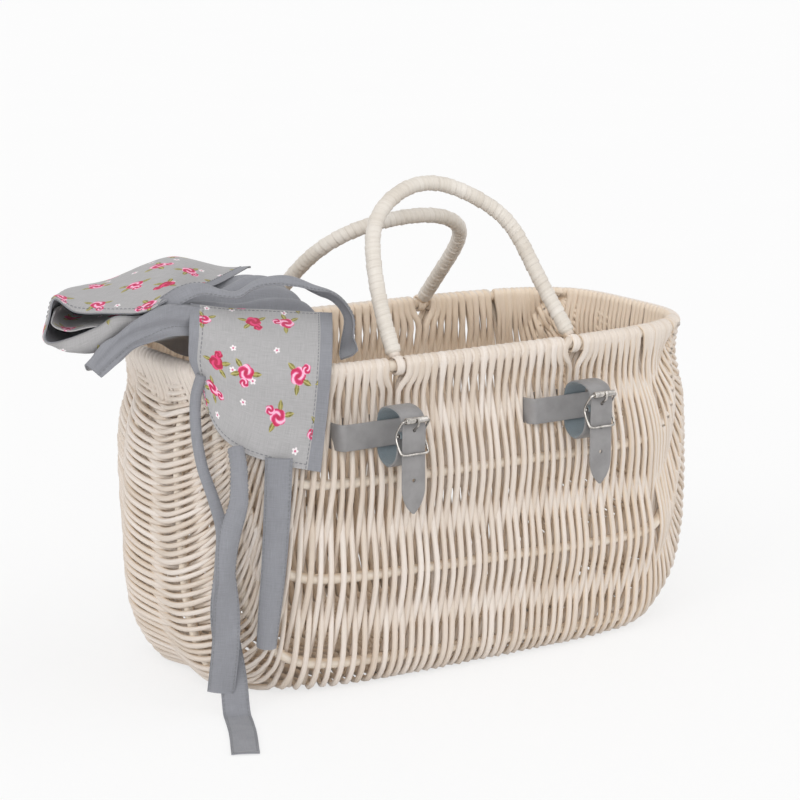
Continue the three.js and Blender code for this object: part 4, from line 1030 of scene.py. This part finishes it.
def creased(points, size, seed, pleats=0.0):
    """The sheet with pleats of the given heights, and soft creases from waves that run across each other."""
    dice = np.random.default_rng(seed)
    s, t = shares(*points.shape[:2])
    height = np.zeros_like(s)
    for _ in range(9):
        a, b = dice.uniform(-16, 16), dice.uniform(-11, 11)
        wave = np.sin(a * s + b * t + dice.uniform(0, 6) + 0.8 * np.sin(3 * s + 5 * t + dice.uniform(0, 6)))
        height += dice.uniform(0.3, 1) * np.sign(wave) * np.abs(wave) ** 1.4 / 4.5
    return points + grid_normals(points) * (pleats + size * height)[..., None]


def add_sheet(pile, points, thickness, kinds, back_kind):
    """Both faces and the cut edges of a sheet, in the pile; the front is on the side of its normals."""
    rows, columns = points.shape[:2]
    half = grid_normals(points) * thickness / 2
    across = np.linalg.norm(np.diff(points, axis=1), axis=2).mean(axis=0)
    down = np.linalg.norm(np.diff(points, axis=0), axis=2).mean(axis=1)
    u, v = np.concatenate([[0], np.cumsum(across)]), np.concatenate([[0], np.cumsum(down)])
    places = np.stack(np.broadcast_arrays(u[None, :], v[:, None]), axis=-1)
    first, second = pile.count, pile.count + rows * columns
    pile.grid((points + half)[:, ::-1], places[:, ::-1], kinds=kinds[:, ::-1])
    pile.grid(points - half, places, kinds=np.full_like(kinds, back_kind))
    rim = ([(0, j) for j in range(columns)] + [(i, columns - 1) for i in range(1, rows)]
           + [(rows - 1, j) for j in range(columns - 2, -1, -1)] + [(i, 0) for i in range(rows - 2, 0, -1)])
    for (i, j), (k, m) in zip(rim, rim[1:] + rim[:1]):
        a, b = first + i * columns + columns - 1 - j, first + k * columns + columns - 1 - m
        c, d = second + k * columns + m, second + i * columns + j
        pile.face([b, a, d, c], [places[k, m], places[i, j], places[i, j], places[k, m]], back_kind)
    return u[-1] * MM, v[-1] * MM


def add_stitches(pile, path, normals, lift):
    along = lengths(path)
    for start in np.arange(1.0, along[-1] - STITCH_LENGTH, STITCH_PITCH):
        places = np.linspace(start, start + STITCH_LENGTH, len(STITCH_BOW))
        middle, normal = rows_at(places, along, path), rows_at(places, along, normals)
        pile.tube(middle + normal * (lift + STITCH_BOW)[:, None], normal, 0.32, 0.26, 6)


def build_cloth(name, points, materials, nodes, slot, hems=(), thread=None, seams=(), faces=(1,),
                thickness=CLOTH_SHEET):
    """Piece of the cover, with the last material on its hems and back, and stitches along its seams."""
    kinds = np.zeros((points.shape[0] - 1, points.shape[1] - 1), int)
    for hem in hems:
        kinds[hem] = 1
    pile = Pile()
    cut = add_sheet(pile, points, thickness, kinds, len(materials) - 1)
    piece = pile.build(name, materials, "cover", nodes, slot)
    if not seams:
        return
    normals = grid_normals(points)
    pile = Pile()
    for seam in seams:
        for face in faces:
            add_stitches(pile, points[seam], face * normals[seam], thickness / 2)
    stitches = pile.build(thread, [THREAD], "cover", slot="lining")


def build_cover():
    part, printed, plain = np.s_, [PRINT, LINING_COTTON], [LINING_COTTON]
    sheet = creased(smooth_grid(FOLD, 150, 56), 2.2, 5)
    build_cloth("folded_end", sheet, printed, ["cover_fold"], "print",
                [part[-5:]], "folded_end_stitches", [part[-6], part[75:, 3]])
    # The layer that lies doubled between the two faces of the folded end
    sheet = creased(smooth_grid(INNER, 90, 30), 0.9, 31)
    build_cloth("inner_fold", sheet, [PRINT], (), "print")
    s, t = shares(90, 60)
    pleats = 1.3 * np.sin(2 * math.pi * (11 * t + 1.6 * s))
    pleats = pleats * (1 - ease(t, 0.14, 0.24)) * np.sin(math.pi * s) ** 0.5
    sheet = creased(smooth_grid(LINING, 90, 60), 1.3, 8, pleats)
    build_cloth("lining_cloth", sheet, plain, ["cover_lining"], "lining",
                (), "lining_stitches", [part[:, 3]])
    s, t = shares(60, 80)
    pleats = 3.2 * np.sin(2 * math.pi * (3.6 * s + 0.7 * t)) * np.sin(math.pi * s) ** 0.5
    sheet = creased(smooth_grid(GATHER, 60, 80), 1.8, 21, pleats)
    build_cloth("gathered_cloth", sheet, plain, (), "lining")
    sheet = creased(smooth_grid(FLAP, 110, 90)[:, ::-1], 1.0, 14)
    build_cloth("printed_flap", sheet, printed, ["cover_flap"], "print",
                [part[:, :6], part[:, -8:]], "flap_stitches",
                [part[:, 8], part[:, -10], part[2, 11:-8], part[-4, 11:-8]])


def build_tie(name, points, turns, curls, width=20.0):
    """Sewn ribbon along points; turns are its width's directions, and curls the degrees that it rolls up."""
    rows, columns = 130, 13
    path, share = spline(points, rows), np.linspace(0, 1, rows)
    wide = rows_at(share, np.linspace(0, 1, len(turns)), np.array(turns, float))
    along = unit(np.gradient(path, axis=0))
    wide = unit(wide - along * (wide * along).sum(1)[:, None])
    roll = np.radians(np.interp(share, np.linspace(0, 1, len(curls)), curls))[:, None]
    across = np.linspace(-0.5, 0.5, columns) * roll
    side, deep = np.sin(across) / roll * width, (np.cos(across) - np.cos(roll / 2)) / roll * width
    grid = path[:, None] + wide[:, None] * side[..., None] + np.cross(along, wide)[:, None] * deep[..., None]
    grid = creased(grid, 0.5, len(name))
    grid[..., 2] = np.maximum(grid[..., 2], TIE_SHEET / 2 + 0.1)
    build_cloth(f"{name}_ribbon", grid, [LINING_COTTON], [name], "lining", (),
                f"{name}_stitches", [np.s_[:, 1], np.s_[:, -2]], (1, -1), TIE_SHEET)


def build_ties():
    hang = (0.84, -0.54, 0)
    build_tie("long_tie",
              [(-220, -70, 247), (-224.5, -69, 231), (-226.5, -73, 206), (-226, -80, 183), (-222, -88, 160),
               (-219, -93, 138), (-219, -91, 111), (-220, -91, 69), (-217, -99, 25), (-219, -107, 1.8),
               (-233, -140, 0.8), (-254, -182, 0.8)],
              [(-0.3, -0.95, 0), (-0.2, -0.97, 0), (0.4, -0.9, 0), hang, hang, (1, 0.1, 0)],
              [330, 320, 310, 260, 90, 25, 20, 15, 12])
    build_tie("corner_tie",
              [(-211, -96, 197), (-212.5, -103, 185), (-214.5, -107, 174), (-218, -112, 160),
               (-227, -115, 140), (-229, -112, 118), (-226, -105, 59), (-226, -96, 16)],
              [hang, hang, (0.9, 0.2, 0), hang, hang], [220, 200, 150, 110, 40, 20, 20])
    build_tie("front_tie", [(-184, -111.5, 190), (-187, -110, 123), (-192, -104, 47)], [hang, hang],
              [25, 60, 120, 165])
    build_tie("upper_tie",
              [(-238, -42, 296), (-226, -47, 304), (-212, -49, 306.5), (-199, -55, 302), (-189, -60, 300),
               (-170, -63, 308), (-150, -66, 309), (-130, -68, 301), (-110, -70, 292), (-102, -74, 279),
               (-108, -82, 262), (-116, -98, 256)],
              [(0, 0.6, 0.8), (0, 0.9, 0.5), (0, 1, -0.3), (0, 0.9, 0.5), (0, 0.9, -0.4), (0, 1, 0),
               (0, 1, 0)],
              [60, 120, 150, 150, 140, 90, 40], 15.0)


build_cover()
build_ties()


# Floor, light and camera

FLOOR_REACH, FLOOR_DROP = 20000.0, 0.0004
LAMPS = (("key", (-1.0, -0.95, 1.1), 45, 0.66), ("front", (-0.5, -0.85, 0.35), 25, 0.4),
         ("side", (-1.0, -0.15, 0.3), 50, 0.4), ("fill", (1.0, -0.7, 0.9), 70, 0.52))
TURN, LIFT, DISTANCE = math.radians(-33), math.radians(10.6), 2.0     # where the camera stands
IMAGE, FOCAL, SENSOR = 800, 2530.0, 36      # image and focal length in pixels, sensor in millimetres
ASIDE, LOWER = -9, 68                       # how far in pixels it looks past the middle of the rim


def build_stage():
    ends = (-FLOOR_REACH, FLOOR_REACH)
    pile = Pile().grid(np.array([[(x, y, 0) for x in ends] for y in ends]))
    floor = link("floor", pile.mesh("floor"))
    floor.location.z = -FLOOR_DROP
    paint = Paint("pale_floor", roughness=0.9, specular_ior_level=0.1)
    mottle = paint.noise(paint.solid(), 3.0, 2.0)
    floor.data.materials.append(paint.finish(paint.blend(mottle, rgb(248, 248, 248), rgb(245, 245, 245))))
    seen = paint.seen()
    white = paint.add("ShaderNodeEmission", None, Strength=1.0)
    mixed = paint.add("ShaderNodeMixShader", None, in0=paint.times(seen, 0.7),
                      in1=paint.shader.outputs[0], in2=white.outputs[0])
    paint.tree.links.new(mixed.outputs[0], paint.tree.nodes["Material Output"].inputs["Surface"])


def build_light():
    world = bpy.data.worlds.new("studio")
    bpy.context.scene.world = world
    world.use_nodes = True
    nodes = Nodes(world.node_tree)
    ground = nodes.tree.nodes["Background"].inputs
    ground["Color"].default_value = (1, 1, 1, 1)
    nodes.tree.links.new(nodes.spread(nodes.seen(), 0, 1, 0.68, 0.99), ground["Strength"])
    for name, direction, angle, strength in LAMPS:
        lamp = bpy.data.lights.new(name, "SUN")
        lamp.angle, lamp.energy = math.radians(angle), strength
        link(name, lamp).rotation_euler = (-Vector(direction)).to_track_quat("-Z", "Y").to_euler()


def build_camera():
    back = Vector((math.sin(TURN) * math.cos(LIFT), -math.cos(TURN) * math.cos(LIFT), math.sin(LIFT)))
    right = Vector((math.cos(TURN), math.sin(TURN), 0))
    lens = bpy.data.cameras.new("camera")
    lens.sensor_width, lens.lens = SENSOR, FOCAL / IMAGE * SENSOR
    camera = link("camera", lens)
    camera.location = Vector((0, 0, RIM_HEIGHT * MM)) + back * DISTANCE
    look = -back + right * (ASIDE / FOCAL) - back.cross(right) * (LOWER / FOCAL)
    camera.rotation_euler = look.to_track_quat("-Z", "Y").to_euler()
    bpy.context.scene.camera = camera
    bpy.context.scene.view_settings.view_transform = "Standard"


build_stage()
build_light()
build_camera()
